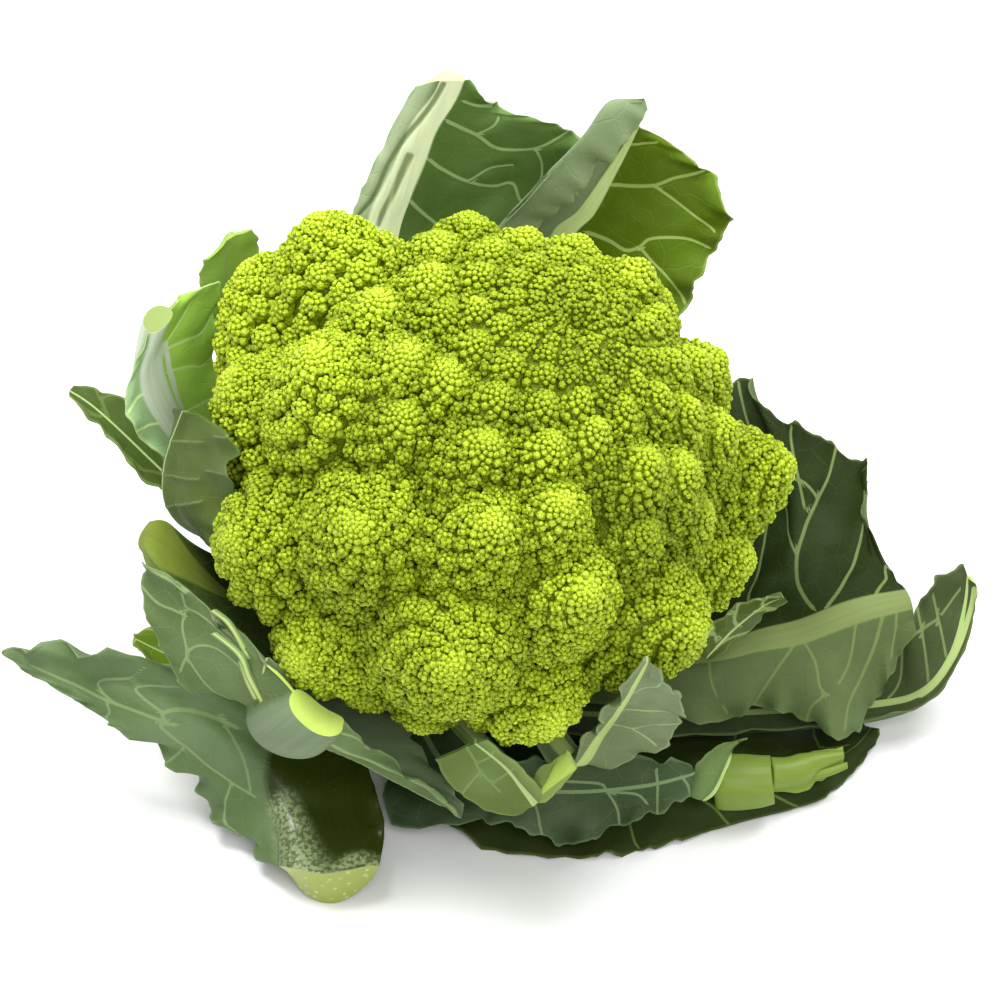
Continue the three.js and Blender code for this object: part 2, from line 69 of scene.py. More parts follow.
back_off = np.array([0, -math.cos(CAMERA_RISE), math.sin(CAMERA_RISE)]) * CAMERA_DISTANCE
camera = bpy.data.objects.new("camera", bpy.data.cameras.new("camera"))
camera.data.lens = CAMERA_LENS
camera.data.sensor_width = CAMERA_SENSOR
camera.location = to_frame(CAMERA_AIM + back_off)
camera.rotation_euler = (math.pi / 2 - CAMERA_RISE, 0, 0)
scene.collection.objects.link(camera)
scene.camera = camera
print("camera at", [round(x, 3) for x in camera.location])

# %% [markdown]
# ## Wires for the shaders
# A finish is a small network of nodes. Written node by node it is long and hard to read, so one class
# wraps a socket: sums and products on it add the Math nodes by themselves, colours go through Mix nodes,
# and one method makes every other kind of node.


# %% A socket that can be used in sums
class Wire:
    def __init__(self, tree, socket=None):
        self.tree = tree
        self.socket = socket

    def node(self, kind, settings=None, values=None, out=0):
        made = self.tree.nodes.new(kind)
        for name, value in (settings or {}).items():
            setattr(made, name, value)
        for name, value in (values or {}).items():
            if isinstance(value, Wire):
                self.tree.links.new(value.socket, made.inputs[name])
            else:
                made.inputs[name].default_value = value
        return Wire(self.tree, made.outputs[out])

    def maths(self, operation, *others):
        values = dict(enumerate((self,) + others))
        return self.node("ShaderNodeMath", {"operation": operation}, values)

    def __add__(self, other):
        return self.maths("ADD", other)

    __radd__ = __add__

    def __mul__(self, other):
        return self.maths("MULTIPLY", other)

    __rmul__ = __mul__

    def __sub__(self, other):
        return self.maths("SUBTRACT", other)

    def __rsub__(self, other):
        return self.node("ShaderNodeMath", {"operation": "SUBTRACT"}, {0: other, 1: self})

    def between(self, low, high):
        """0 below low, 1 above high and smooth between; low may be the larger one."""
        settings = {"interpolation_type": "SMOOTHSTEP"}
        values = {"Value": self, "From Min": low, "From Max": high}
        return self.node("ShaderNodeMapRange", settings, values)

    def mixed(self, other, factor):
        """This colour turning into another one by a factor."""
        values = {0: factor, 6: self, 7: other}
        return self.node("ShaderNodeMix", {"data_type": "RGBA"}, values, out=2)

    def darker(self, factor):
        """This colour times a factor."""
        return self.node("ShaderNodeVectorMath", {"operation": "SCALE"}, {0: self, "Scale": factor})

    def colour(self, red, green, blue):
        return self.node("ShaderNodeCombineColor", {}, dict(enumerate(seen(red, green, blue))))

    def bump(self, strength, distance):
        """This height as a bent normal."""
        values = {"Height": self, "Strength": strength, "Distance": distance}
        return self.node("ShaderNodeBump", {}, values)

    def attribute(self, name, out="Fac"):
        return self.node("ShaderNodeAttribute", {"attribute_name": name}, out=out)

    def stretched(self, *shares):
        """This vector with each part times its own share."""
        return self.node("ShaderNodeVectorMath", {"operation": "MULTIPLY"}, {0: self, 1: shares})

    def noise(self, vector, scale, detail=3.0, out=0):
        values = {"Vector": vector, "Scale": scale, "Detail": detail}
        return self.node("ShaderNodeTexNoise", {}, values, out)


def seen(red, green, blue):
    """A colour as a picture gives it, 0 to 255, as the shader's own linear numbers."""
    shares = [x / 255 for x in (red, green, blue)]
    return [x / 12.92 if x <= 0.04045 else ((x + 0.055) / 1.055) ** 2.4 for x in shares]


def new_finish(name):
    """A material and its shader, with a wire to start from."""
    finish = bpy.data.materials.new(name)
    finish.use_nodes = True
    shader = finish.node_tree.nodes["Principled BSDF"]
    return finish, shader, Wire(finish.node_tree)


def connect(shader, **wires):
    for name, wire in wires.items():
        shader.id_data.links.new(wire.socket, shader.inputs[name.replace("_", " ")])


print("a mid green as linear numbers:", [round(x, 3) for x in seen(150, 180, 20)])

# %% [markdown]
# ## Floor and light
# The picture has a plain white table and soft light from above. The strongest lamp hangs above the plant, a
# little to the left, and a second one to the right, so that every cone has a bright side and soft shade. A
# wide one fills the front, and a pale sky keeps the gaps from going black.

# %% Floor and light
FLOOR_HALF = 2.5
SKY_STRENGTH = 0.5
LAMP_AIM = Vector((0, 0, 0.05))
LAMPS = {  # place, size and power
    "key_lamp": ((-0.34, 0.12, 1.2), 0.5, 14),
    "right_lamp": ((0.5, 0.2, 1.05), 0.5, 7),
    "front_lamp": ((0.3, -0.95, 1.05), 0.8, 9),
}


def lamp(name, place, size, power):
    data = bpy.data.lights.new(name, "AREA")
    data.size = size
    data.energy = power
    lamp_object = bpy.data.objects.new(name, data)
    lamp_object.location = place
    lamp_object.rotation_euler = (LAMP_AIM - Vector(place)).to_track_quat("-Z", "Y").to_euler()
    scene.collection.objects.link(lamp_object)


def floor_finish():
    finish, shader, wire = new_finish("white_table")
    place = wire.node("ShaderNodeTexCoord", out="Object")
    cloud = wire.noise(place, 3.0)
    white = wire.colour(246, 246, 246)
    connect(shader, Base_Color=white.darker(0.99 + 0.02 * cloud), Roughness=0.6 + 0.1 * cloud)
    shader.inputs["Specular IOR Level"].default_value = 0.2
    return finish


floor_mesh = bpy.data.meshes.new("floor")
floor_turns = [(-1, -1), (1, -1), (1, 1), (-1, 1)]
floor_mesh.from_pydata([(x * FLOOR_HALF, y * FLOOR_HALF, 0) for x, y in floor_turns], [], [(0, 1, 2, 3)])
floor = bpy.data.objects.new("floor", floor_mesh)
floor.data.materials.append(floor_finish())
scene.collection.objects.link(floor)

for lamp_name, lamp_settings in LAMPS.items():
    lamp(lamp_name, *lamp_settings)
sky = bpy.data.worlds.new("sky")
sky.use_nodes = True
sky_inputs = sky.node_tree.nodes["Background"].inputs
sky_inputs["Color"].default_value = (1, 1, 1, 1)
sky_inputs["Strength"].default_value = SKY_STRENGTH
scene.world = sky
scene.view_settings.view_transform = "Standard"

# %% [markdown]
# ## From arrays to pieces
# The head has tens of thousands of buds, so its points are worked out as arrays and handed to Blender in
# one go. The same helper serves every piece: it makes the mesh, adds the named values that the finish
# reads, ties the piece to the root body and hides the solid that it stands for.


# %% Make a piece from arrays
def make_piece(name, node, slot, points, faces, finish, values=None, flat=None, face_values=None):
    faces = np.asarray(faces, np.int32)
    mesh = bpy.data.meshes.new(name)
    mesh.vertices.add(len(points))
    mesh.vertices.foreach_set("co", to_frame(points).astype(np.float32).ravel())
    mesh.loops.add(faces.size)
    mesh.loops.foreach_set("vertex_index", faces.ravel())
    mesh.polygons.add(len(faces))
    mesh.polygons.foreach_set("loop_start", np.arange(len(faces), dtype=np.int32) * faces.shape[1])
    mesh.update(calc_edges=True)
    for title, value in (values or {}).items():
        value = np.asarray(value, np.float32)
        kind = "FLOAT" if value.ndim == 1 else "FLOAT_VECTOR"
        field = "value" if value.ndim == 1 else "vector"
        mesh.attributes.new(title, kind, "POINT").data.foreach_set(field, value.ravel())
    for title, value in (face_values or {}).items():
        layer = mesh.attributes.new(title, "FLOAT", "FACE").data
        layer.foreach_set("value", np.asarray(value, np.float32))
    if flat is not None:
        mesh.attributes.new("sharp_face", "BOOLEAN", "FACE").data.foreach_set("value", flat)
    mesh.materials.append(finish)
    mesh.validate()
    piece = bpy.data.objects.new(name, mesh)
    scene.collection.objects.link(piece)
    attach(piece, "root")
    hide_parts(node)
    return piece


def unit(v):
    v = np.asarray(v, float)
    return v / np.maximum(np.linalg.norm(v, axis=-1, keepdims=True), 1e-9)


print("helper ready:", make_piece.__name__)

# %% [markdown]
# ## The head: florets in a spiral
# The florets sit on a leaning dome. Each next one turns by about 137.7 degrees and stands a little closer to
# the point, which gives the crossing spirals. A few were pushed aside by their neighbours as they grew, and
# those are moved one by one. Every floret leans towards the head's point, like the scale of a fir cone. The
# numbers are the same as the solid's, so both have one shape.

# %% Where the florets are
HEAD_CENTRE = np.array([-11.6, 4.9, 58.6])
HEAD_AXIS = unit([0.385, -0.141, 1])
DOME_RADIUS, DOME_HEIGHT, DOME_POWER, DOME_START = 85.5, 88.4, 1.83, 1.095
FLORET_COUNT = 118
FLORET_FIRST, FLORET_TURN, FLORET_SHRINK = 1.778, math.radians(137.726), 0.0245
FLORET_SLOPE, FLORET_BLUNT, FLORET_TILT = 1.15, 0.16, 0.5
FLORET_WIDTH, WIDTH_BASE, FLORET_UNEVEN, LEAST_WIDTH = 0.46, 1.08, 0.26, 6
RIM_DROP = 1.2
FLORET_NUDGE = {
    0: (0, -10, 0), 1: (8, 16, 10), 2: (-5, -4, 20), 3: (18, 3, 28), 4: (-6, 12, 13), 5: (0, -8, -4),
    6: (5, 0, -7), 7: (-6, 4, 12), 8: (0, -6, -12), 11: (-6, 2, -13), 13: (0, -6, -6), 15: (6, -2, -1),
    16: (-8, 7, 3), 17: (2, 3, 0), 19: (-3, 8, 4), 20: (-7, 2, 0), 22: (5, 0, 0), 24: (4, -4, 0),
    25: (-2, 4, 0), 27: (-1, 5, 0), 32: (2, -8, 0), 38: (-3, 4, 1), 46: (0, -9, -2), 52: (6, 6, 1),
    58: (-3, -3, 0),
}
LOW_FLORETS = [((-37, -46, 51), 26), ((-20, -48, 43), 26)]
EYE_RISE = 14
HEAD_EYE = HEAD_CENTRE + EYE_RISE * HEAD_AXIS


def across(axis):
    """Two directions at right angles to an axis."""
    first = unit(np.cross([0, 1, 0], axis))
    return first, np.cross(axis, first)


def floret_tips():
    tips, widths = [], []
    first, second = across(HEAD_AXIS)
    for k in range(FLORET_COUNT):
        u = DOME_START * math.exp(-FLORET_SHRINK * k)
        inside = min(u, 1)
        out = DOME_RADIUS * inside
        rise = DOME_HEIGHT * (1 - inside**DOME_POWER) ** (1 / DOME_POWER)
        drop = (u - inside) * DOME_RADIUS * RIM_DROP
        turn = FLORET_FIRST + k * FLORET_TURN
        side = out * (math.cos(turn) * first + math.sin(turn) * second)
        tips.append(HEAD_CENTRE + side + (rise - drop) * HEAD_AXIS + FLORET_NUDGE.get(k, (0, 0, 0)))
        uneven = WIDTH_BASE - FLORET_UNEVEN * math.cos(turn)
        widths.append(max(FLORET_WIDTH * out * uneven, LEAST_WIDTH))
    tips += [np.array(tip, float) for tip, width in LOW_FLORETS]
    widths += [width for tip, width in LOW_FLORETS]
    return np.array(tips), np.array(widths)


floret_tip, floret_width = floret_tips()
floret_reach = np.linalg.norm(floret_tip - HEAD_EYE, axis=1)
floret_axis = unit(floret_tip - HEAD_EYE)
floret_up = unit(HEAD_AXIS - (floret_axis @ HEAD_AXIS)[:, None] * floret_axis)
floret_blunt = FLORET_BLUNT * floret_width
print("florets:", len(floret_tip), "widest", round(floret_width.max(), 1), "mm")

# %% [markdown]
# ## How deep a point lies in the head
# Buds that are buried in a neighbouring floret would only cost triangles. Seen from a point inside the
# head, each floret reaches out furthest at its tip and less to all sides, so a bud is buried where another
# floret, or the core, reaches further in the same direction.

# %% Depth under the skin
CORE_PROFILE = [(0, 56), (34, 44), (52, 14), (50, -6), (38, -16), (20, -23), (0, -25)]
UNDERSIDE_LEVEL = 32.0
WIDEST_VIEW = 1.0


def core_reach(angle):
    angles = [math.atan2(out, height - EYE_RISE) for out, height in CORE_PROFILE]
    reaches = [math.hypot(out, height - EYE_RISE) for out, height in CORE_PROFILE]
    return np.interp(angle, angles, reaches)


def floret_fall(side, inward, blunt):
    """How far a floret's skin lies under its tip: steep towards the head's point, gentle outwards."""
    far = np.hypot(side, blunt)
    return (far - blunt) * (FLORET_SLOPE + FLORET_TILT * inward / far)


def buried_by(points, skip=None):
    """How far other florets or the core stand out over each point, along the line from the eye."""
    away = points - HEAD_EYE
    distance = np.linalg.norm(away, axis=1)
    aim = away / distance[:, None]
    cosine = np.clip(aim @ floret_axis.T, -1, 1)
    side = floret_reach * np.sqrt(1 - cosine**2)
    reach = floret_reach - floret_fall(side, floret_reach * (aim @ floret_up.T), floret_blunt)
    reach[cosine < math.cos(WIDEST_VIEW)] = 0
    if skip is not None:
        reach[:, skip] = 0
    core = core_reach(np.arccos(np.clip(aim @ HEAD_AXIS, -1, 1)))
    return np.maximum(reach.max(1), core) - distance


just_inside = floret_tip * 0.999 + HEAD_EYE * 0.001
print("tips buried by a neighbour:", int((buried_by(just_inside) > 1).sum()))

# %% [markdown]
# ## Buds in spirals on spirals
# Every floret is itself a small head: it carries cones in a spiral of its own, and each of those carries
# beads. Modifiers could scatter copies, but the members have to grow with the distance from the tip. So a
# profile is walked from its tip, and each member takes the area that its size needs.

# %% A spiral of members on a profile
GOLDEN_TURN = math.radians(137.508)
CONE_ROOM, BEAD_ROOM = 1.04, 0.97
SPACING_SLOPE = 1.05
PROFILE_STEPS = 160
SKIN_MARGIN, SKIN_SHARE = 4, 0.8


def floret_skin(k, side, turn):
    """Places and outward directions on a floret, at distances from its axis and turns about it."""
    spoke = np.cos(turn)[:, None] * floret_up[k]
    spoke = spoke + np.sin(turn)[:, None] * np.cross(floret_axis[k], floret_up[k])
    blunt = floret_blunt[k]
    far = np.hypot(side, blunt)
    reach = floret_reach[k] - floret_fall(side, side * np.cos(turn), blunt)
    share = (side / floret_reach[k])[:, None]
    aim = np.sqrt(1 - share**2) * floret_axis[k] + share * spoke
    lean = (FLORET_SLOPE * side / far)[:, None] * spoke
    lean = lean + (FLORET_TILT * (1 - blunt / far))[:, None] * floret_up[k]
    return HEAD_EYE + reach[:, None] * aim, unit(aim + lean)


def floret_half(k):
    """How far a floret's skin is followed to the side."""
    return min(floret_width[k] + SKIN_MARGIN, SKIN_SHARE * floret_reach[k])


def walk_profile(out, height, share, least, most, room, first=0.0):
    """Members on a turned profile, each with the area its size needs. Sizes grow with the way from the
    tip. Returns the way along the profile, the members' ways and their sizes."""
    step_out, step_up = np.diff(out), np.diff(height)
    way = np.concatenate([[0], np.cumsum(np.hypot(step_out, step_up))])
    size = np.clip(share * way, least, most)
    middle = 0.5 * (size[1:] + size[:-1])
    area = math.pi * (out[1:] + out[:-1]) * np.hypot(step_out, step_up)
    area[way[1:] < first] = 0
    number = np.concatenate([[0], np.cumsum(area / (room * middle**2))])
    at = np.interp(np.arange(int(number[-1])) + 0.5, number, way)
    return way, at, np.interp(at, way, size)


example_side = np.linspace(0, floret_half(20), PROFILE_STEPS)
example = walk_profile(example_side, -SPACING_SLOPE * example_side, 0.3, 1.05, 4.0, CONE_ROOM)
print("members on floret 20:", len(example[1]), "largest", round(example[2].max(), 1), "mm")

# %% [markdown]
# ## Cones and beads
# A member that is at least 2.5 millimetres across is a cone with its own beads, and a smaller one is a
# single bead. A bead is only two rings of five points, closed at both ends: with smooth shading it looks
# round, and twenty triangles each is what lets the head have so many. Each bead also gets a tone. It is
# high at the tips of cones and florets, and falls in the creases where two florets meet, as painted shade.

# %% Cones and beads of one floret
CONE_SHARE, CONE_LEAST = 0.34, 1.4
CONE_OF_FLORET, CONE_MOST_RANGE = 0.2, (3.0, 9.0)
CONE_RADIUS, CONE_TIP, CONE_SLOPE, CONE_BLUNT = 0.58, 0.52, 1.25, 0.14
CONE_WITH_BEADS, CONE_LEAN, CONE_STEPS = 2.5, 0.45, 40
BEAD_SHARE, BEAD_LEAST, BEAD_MOST = 0.42, 1.4, 2.3
TONE_OF_FLORET, TIP_TONE = 0.3, (0.4, 0.35)
CREASE_DEPTH, CREASE_PAINTED_SHADE = 6.0, 0.2
INWARD_GROWTH, INWARD_CROWD, INWARD_START = 0.14, 0.22, 4
TIP_BEAD, TIP_LEAST, TIP_SUNK, BEADS_FROM = 0.34, 1.25, 0.05, 0.2
CONE_COVER, BEAD_COVER, BEAD_OVERLAP = 0.3, 0.25, 0.08
SIZE_SPREAD, FULL_TURN = (0.9, 1.1), 6.3
bud_random = np.random.default_rng(41)


def cone_skin(out):
    """Height of a cone's skin over its place on the floret, in shares of the cone's size."""
    return CONE_TIP - CONE_SLOPE * (np.hypot(out, CONE_BLUNT) - CONE_BLUNT)


def cone_beads(centre, up, width):
    """Beads of one cone: places, axes, sizes and levels from 0 at the foot to 1, with a larger tip bead."""
    left, right = across(up)
    out = np.linspace(0, CONE_RADIUS, CONE_STEPS)
    height = cone_skin(out)
    sizes = (BEAD_SHARE, BEAD_LEAST, BEAD_MOST)
    way, at, size = walk_profile(out * width, height * width, *sizes, BEAD_ROOM, BEADS_FROM * width)
    out, height = np.interp(at, way, out), np.interp(at, way, height)
    steep = CONE_SLOPE * out / np.hypot(out, CONE_BLUNT)
    turn = bud_random.uniform(0, FULL_TURN) + np.arange(len(at)) * GOLDEN_TURN
    spoke = np.cos(turn)[:, None] * left + np.sin(turn)[:, None] * right
    place = centre + width * (out[:, None] * spoke + height[:, None] * up)
    axis = unit(steep[:, None] * spoke + up)
    tip = centre + (CONE_TIP - TIP_SUNK) * width * up
    tip_size = max(TIP_BEAD * width, TIP_LEAST)
    level = np.append(1 - at / way[-1], 1)
    return np.vstack([place, tip]), np.vstack([axis, up]), np.append(size, tip_size), level


def floret_members(k):
    """Cones (place, axis, size, tone) and beads (place, axis, size, tone) of one floret."""
    side = np.linspace(0, floret_half(k), PROFILE_STEPS)
    most = np.clip(CONE_OF_FLORET * floret_width[k], *CONE_MOST_RANGE)
    way, at, size = walk_profile(side, -SPACING_SLOPE * side, CONE_SHARE, CONE_LEAST, most, CONE_ROOM)
    turn = k * FLORET_TURN + np.arange(len(at)) * GOLDEN_TURN
    turn = turn - INWARD_CROWD * np.sin(turn)
    grown = 1 + INWARD_GROWTH * np.cos(turn) * np.minimum(INWARD_START * at / way[-1], 1)
    size = size * grown * bud_random.uniform(*SIZE_SPREAD, len(size))
    place, axis = floret_skin(k, np.interp(at, way, side), turn)
    axis = unit(axis + CONE_LEAN * floret_axis[k])
    tone = 1 - at / way[-1]
    keep = (buried_by(place, k) < CONE_COVER * size) & (place[:, 2] > UNDERSIDE_LEVEL)
    place, axis, size, tone = place[keep], axis[keep], size[keep], tone[keep]
    big = size >= CONE_WITH_BEADS
    beads = [(place[~big], axis[~big], size[~big], TIP_TONE[0] + TIP_TONE[1] * tone[~big])]
    for centre, up, width, level in zip(place[big], axis[big], size[big], tone[big]):
        made = cone_beads(centre, up, width)
        beads.append(made[:3] + (TONE_OF_FLORET * level + (1 - TONE_OF_FLORET) * made[3],))
    joined = [np.concatenate(column) for column in zip(*beads)]
    cones = (place[big], axis[big], size[big], tone[big])
    return cones, clear_of_cones(joined, cones, k)


def clear_of_cones(beads, cones, k):
    """Beads that no other floret and no other cone of this one has grown over."""
    place, axis, size, tone = beads
    free = -buried_by(place, k)
    keep = (free > BEAD_COVER * size) & (place[:, 2] > UNDERSIDE_LEVEL)
    # Painted shade: beads deep in a crease between florets get a lower tone, so they come out darker.
    tone = tone * (CREASE_PAINTED_SHADE + (1 - CREASE_PAINTED_SHADE) * np.clip(free / CREASE_DEPTH, 0, 1))
    for centre, up, width, _ in zip(*cones):
        from_centre = (place - centre) / width
        height = from_centre @ up
        out = np.linalg.norm(from_centre - height[:, None] * up, axis=1)
        keep &= ~((out < CONE_RADIUS) & ((cone_skin(out) - height) * width > BEAD_OVERLAP * size))
    return place[keep], axis[keep], size[keep], tone[keep]


members = [floret_members(k) for k in range(len(floret_tip))]
print("cones:", sum(len(c[0]) for c, b in members), "beads:", sum(len(b[0]) for c, b in members))

# %% [markdown]
# ## Meshes for the head
# Beads, cones and floret bodies are all small turned forms: rings of points round an axis, closed at both
# ends. One function stamps a turned form at many places at once.

# %% Stamp turned forms
BEAD_RINGS, BEAD_LOW, BEAD_SIDES = [(0, 0.36), (0.34, 0.2), (0.7, -0.14)], -0.35, 5
CONE_RINGS, CONE_LOW, CONE_SIDES = [(0, CONE_TIP), (CONE_RADIUS, -0.16)], -0.4, 6


def turned_faces(sides, rings):
    """Triangles of a closed turned form: a tip, rings of points, and a closing point."""
    triangles = []
    last = sides * rings + 1
    for i in range(sides):
        j = (i + 1) % sides
        triangles.append((0, 1 + i, 1 + j))
        for r in range(rings - 1):
            a, b = 1 + r * sides + i, 1 + r * sides + j
            triangles += [(a, a + sides, b + sides), (a, b + sides, b)]
        triangles.append((last, last - sides + j, last - sides + i))
    return np.array(triangles)


def stamp(places, axes, sizes, rings, low, sides):
    """Closed turned forms. rings are (radius, height) from the top down, low is the closing height,
    all in shares of the size. Returns points, triangles and the height of each point of one form."""
    count = len(places)
    helper = np.where(np.abs(axes[:, 1:2]) > 0.9, [[1.0, 0, 0]], [[0, 1.0, 0]])
    first = unit(np.cross(helper, axes))
    second = np.cross(axes, first)
    layout = [(0.0, 0.0, rings[0][1])]
    for radius, height in rings[1:]:
        for i in range(sides):
            turn = 2 * math.pi * i / sides
            layout.append((radius * math.cos(turn), radius * math.sin(turn), height))
    layout.append((0.0, 0.0, low))
    layout = np.array(layout)
    local = layout[None] * np.asarray(sizes)[:, None, None]
    points = places[:, None] + local[..., :1] * first[:, None] + local[..., 1:2] * second[:, None]
    points = points + local[..., 2:] * axes[:, None]
    triangles = turned_faces(sides, len(rings) - 1)
    triangles = triangles[None] + (np.arange(count) * len(layout))[:, None, None]
    return points.reshape(-1, 3), triangles.reshape(-1, 3), layout[:, 2]


print("triangles of a bead:", len(turned_faces(BEAD_SIDES, len(BEAD_RINGS) - 1)))

# %% [markdown]
# ## The finish of the head
# The buds carry two values of their own. The lift is 0 at a bud's foot and 1 at its top, and the tone is high
# near the tips. Together they run from a deep yellow-green to a pale one: painted shade at the feet, in the
# gaps and in the creases, and a painted highlight on the tops. Buds finer than the mesh get a bump, and a
# painted highlight at each one's middle with painted shade between them.

# %% Finish of the head
CLOUD_SCALE, BUD_SCALE = 45.0, 1350.0


def curd_finish():
    finish, shader, wire = new_finish("curd")
    place = wire.node("ShaderNodeTexCoord", out="Object")
    lift = wire.attribute("lift")
    tone = wire.attribute("tone")
    cloud = wire.noise(place, CLOUD_SCALE)
    fine = wire.node("ShaderNodeTexVoronoi", {}, {"Vector": place, "Scale": BUD_SCALE})
    # The deep colour is painted shade at the buds' feet and in the gaps, and the palest one is a painted
    # highlight on their tops.
    deep = wire.colour(130, 152, 14)
    mid = wire.colour(161, 184, 16)
    painted_highlight = wire.colour(188, 206, 64)
    body = deep.mixed(mid, (0.75 * lift + 0.5 * tone).between(0.15, 0.95))
    body = body.mixed(painted_highlight, lift.between(0.5, 1.0) * tone.between(0.1, 0.9))
    # Brighter where the tone is high, near the tips and on florets given painted light, and darker in the
    # painted crease shade.
    body = body.darker(0.68 + 0.25 * cloud + 0.55 * tone)
    # Painted highlight at the middle of each fine bud, and painted shade between them.
    body = body.darker(1.12 - 0.4 * fine.between(0.15, 0.6))
    shade = (1 - fine).bump(0.9, 0.0004)
    connect(shader, Base_Color=body, Roughness=0.45 + 0.2 * cloud, Normal=shade)
    shader.inputs["Specular IOR Level"].default_value = 0.25
    return finish


curd = curd_finish()
print("nodes in the curd's finish:", len(curd.node_tree.nodes))

# %% [markdown]
# ## Build the head
# Each floret is a plain leaning cone with its cones and beads stamped on it. The florets are joined in five
# pieces, so that none gets too heavy. A few are given painted light, paler where light falls on them, and
# all differ a little in tone, as they do on a real head.

# %% Build the head
CORE_SIDES, CORE_SHARE = 40, 0.98
LARGE_FLORETS, LARGE_BODY, SMALL_BODY = 40, (18, 9), (10, 6)
BODY_SUNK, BODY_SUNK_SHARE, BODY_TIP_SUNK, BODY_ROOT = 0.4, 0.12, 0.6, 0.5
BODY_TONE, CONE_LIFT, TINT_SPREAD = 0.3, 0.8, 0.15
HEAD_GROUPS = {
    "florets_rim": (0, 6), "florets_low": (6, 13), "florets_shoulder": (13, 22),
    "florets_middle": (22, 40), "florets_top": (40, 120),
}
# Painted light: these florets are made paler where light falls on them.
PAINTED_LIGHT_FLORETS = {3: 0.4, 8: 0.3, 16: 0.4, 11: 0.2, 19: 0.15}


def floret_body(k):
    """The floret's own leaning cone, a little under its buds."""
    sides, rings = LARGE_BODY if k < LARGE_FLORETS else SMALL_BODY
    side = np.repeat(np.linspace(0, 1, rings)[1:] * floret_half(k), sides)
    turn = np.tile(np.arange(sides) * 2 * math.pi / sides, rings - 1)
    tip = floret_tip[k] - BODY_TIP_SUNK * floret_axis[k]
    root = HEAD_EYE + BODY_ROOT * (floret_tip[k] - HEAD_EYE)
    skin = floret_skin(k, side, turn)[0]
    bud = np.clip(CONE_SHARE * side, 0, CONE_OF_FLORET * floret_width[k])
    skin = skin - (BODY_SUNK + BODY_SUNK_SHARE * bud)[:, None] * unit(skin - HEAD_EYE)
    points = np.concatenate([tip[None], skin, root[None]])
    return points, turned_faces(sides, rings - 1), np.zeros(len(points))


def core_body():
    """The fleshy core that the florets stand on."""
    rings, low = CORE_PROFILE[:-1], CORE_PROFILE[-1][1]
    made = stamp(HEAD_CENTRE[None], HEAD_AXIS[None], [CORE_SHARE], rings, low, CORE_SIDES)
    return made[0], made[1], np.zeros(len(made[0]))


def floret_forms(k):
    """The meshes of one floret, each with the tones of its members and the lift at their tops."""
    cones, beads = members[k]
    forms = [(floret_body(k), None, 0.0)]
    if k == 0:
        forms.append((core_body(), None, 0.0))
    if len(cones[0]):
        forms.append((stamp(*cones[:3], CONE_RINGS, CONE_LOW, CONE_SIDES), cones[3], CONE_LIFT))
    if len(beads[0]):
        forms.append((stamp(*beads[:3], BEAD_RINGS, BEAD_LOW, BEAD_SIDES), beads[3], 1.0))
    return forms


def make_head():
    for name, (start, stop) in HEAD_GROUPS.items():
        points, faces, lifts, tones = [], [], [], []
        total = 0
        for k in range(start, stop):
            # A random tint, plus painted light on the florets listed above.
            tint_and_painted_light = PAINTED_LIGHT_FLORETS.get(k, 0.0) + bud_random.uniform(-TINT_SPREAD, TINT_SPREAD)
            for (form_points, form_faces, heights), tone, top in floret_forms(k):
                share = (heights - heights.min()) / max(np.ptp(heights), 1e-6)
                level = np.full(len(form_points), BODY_TONE)
                if tone is not None:
                    level = np.repeat(tone + tint_and_painted_light, len(heights))
                points.append(form_points)
                faces.append(form_faces + total)
                lifts.append(np.tile(share * top, len(form_points) // len(heights)))
                tones.append(level)
                total += len(form_points)
        values = {"lift": np.concatenate(lifts), "tone": np.concatenate(tones)}
        points, faces = np.concatenate(points), np.concatenate(faces)
        piece = make_piece(name, "head", "curd", points, faces, curd, values)
        print(name, "triangles:", len(piece.data.polygons))


make_head()

# %% [markdown]
# ## The stem
# Under the head is the stump that the knife left: pale, ribbed where leaves were cut off, and flat below. It
# is a ring of points carried up in steps. Few people turn a romanesco over, but the cut foot still shows its
# moist green ring and paler pith.

# %% Stem
STEM_FOOT, STEM_TOP = np.array([-40.0, 2.0, 0.0]), np.array([-22.5, 7.0, 31.0])
STEM_RADIUS_FOOT, STEM_RADIUS_TOP = 18.0, 20.0
STEM_SIDES, STEM_RINGS = 96, 24
BROAD_RIBS, FINE_RIBS, STREAK_SCALE = 0.018, 0.008, 160.0
CUT_SHARE, CUT_RINGS = 0.98, (0.85, 0.6, 0.3)


def stem_finish():
    finish, shader, wire = new_finish("stem")
    place = wire.node("ShaderNodeTexCoord", out="Object")
    pith = wire.attribute("pith")
    streak = wire.noise(place, STREAK_SCALE)
    pale, dark = wire.colour(176, 196, 128), wire.colour(132, 160, 84)
    skin = pale.mixed(dark, streak.between(0.4, 0.7))
    white, green = wire.colour(214, 224, 170), wire.colour(150, 182, 84)
    cut = white.mixed(green, pith.between(0.68, 0.8))
    colour = skin.mixed(cut, wire.attribute("cut"))
    connect(shader, Base_Color=colour, Roughness=0.4 + 0.25 * streak, Normal=streak.bump(0.3, 0.0004))
    return finish


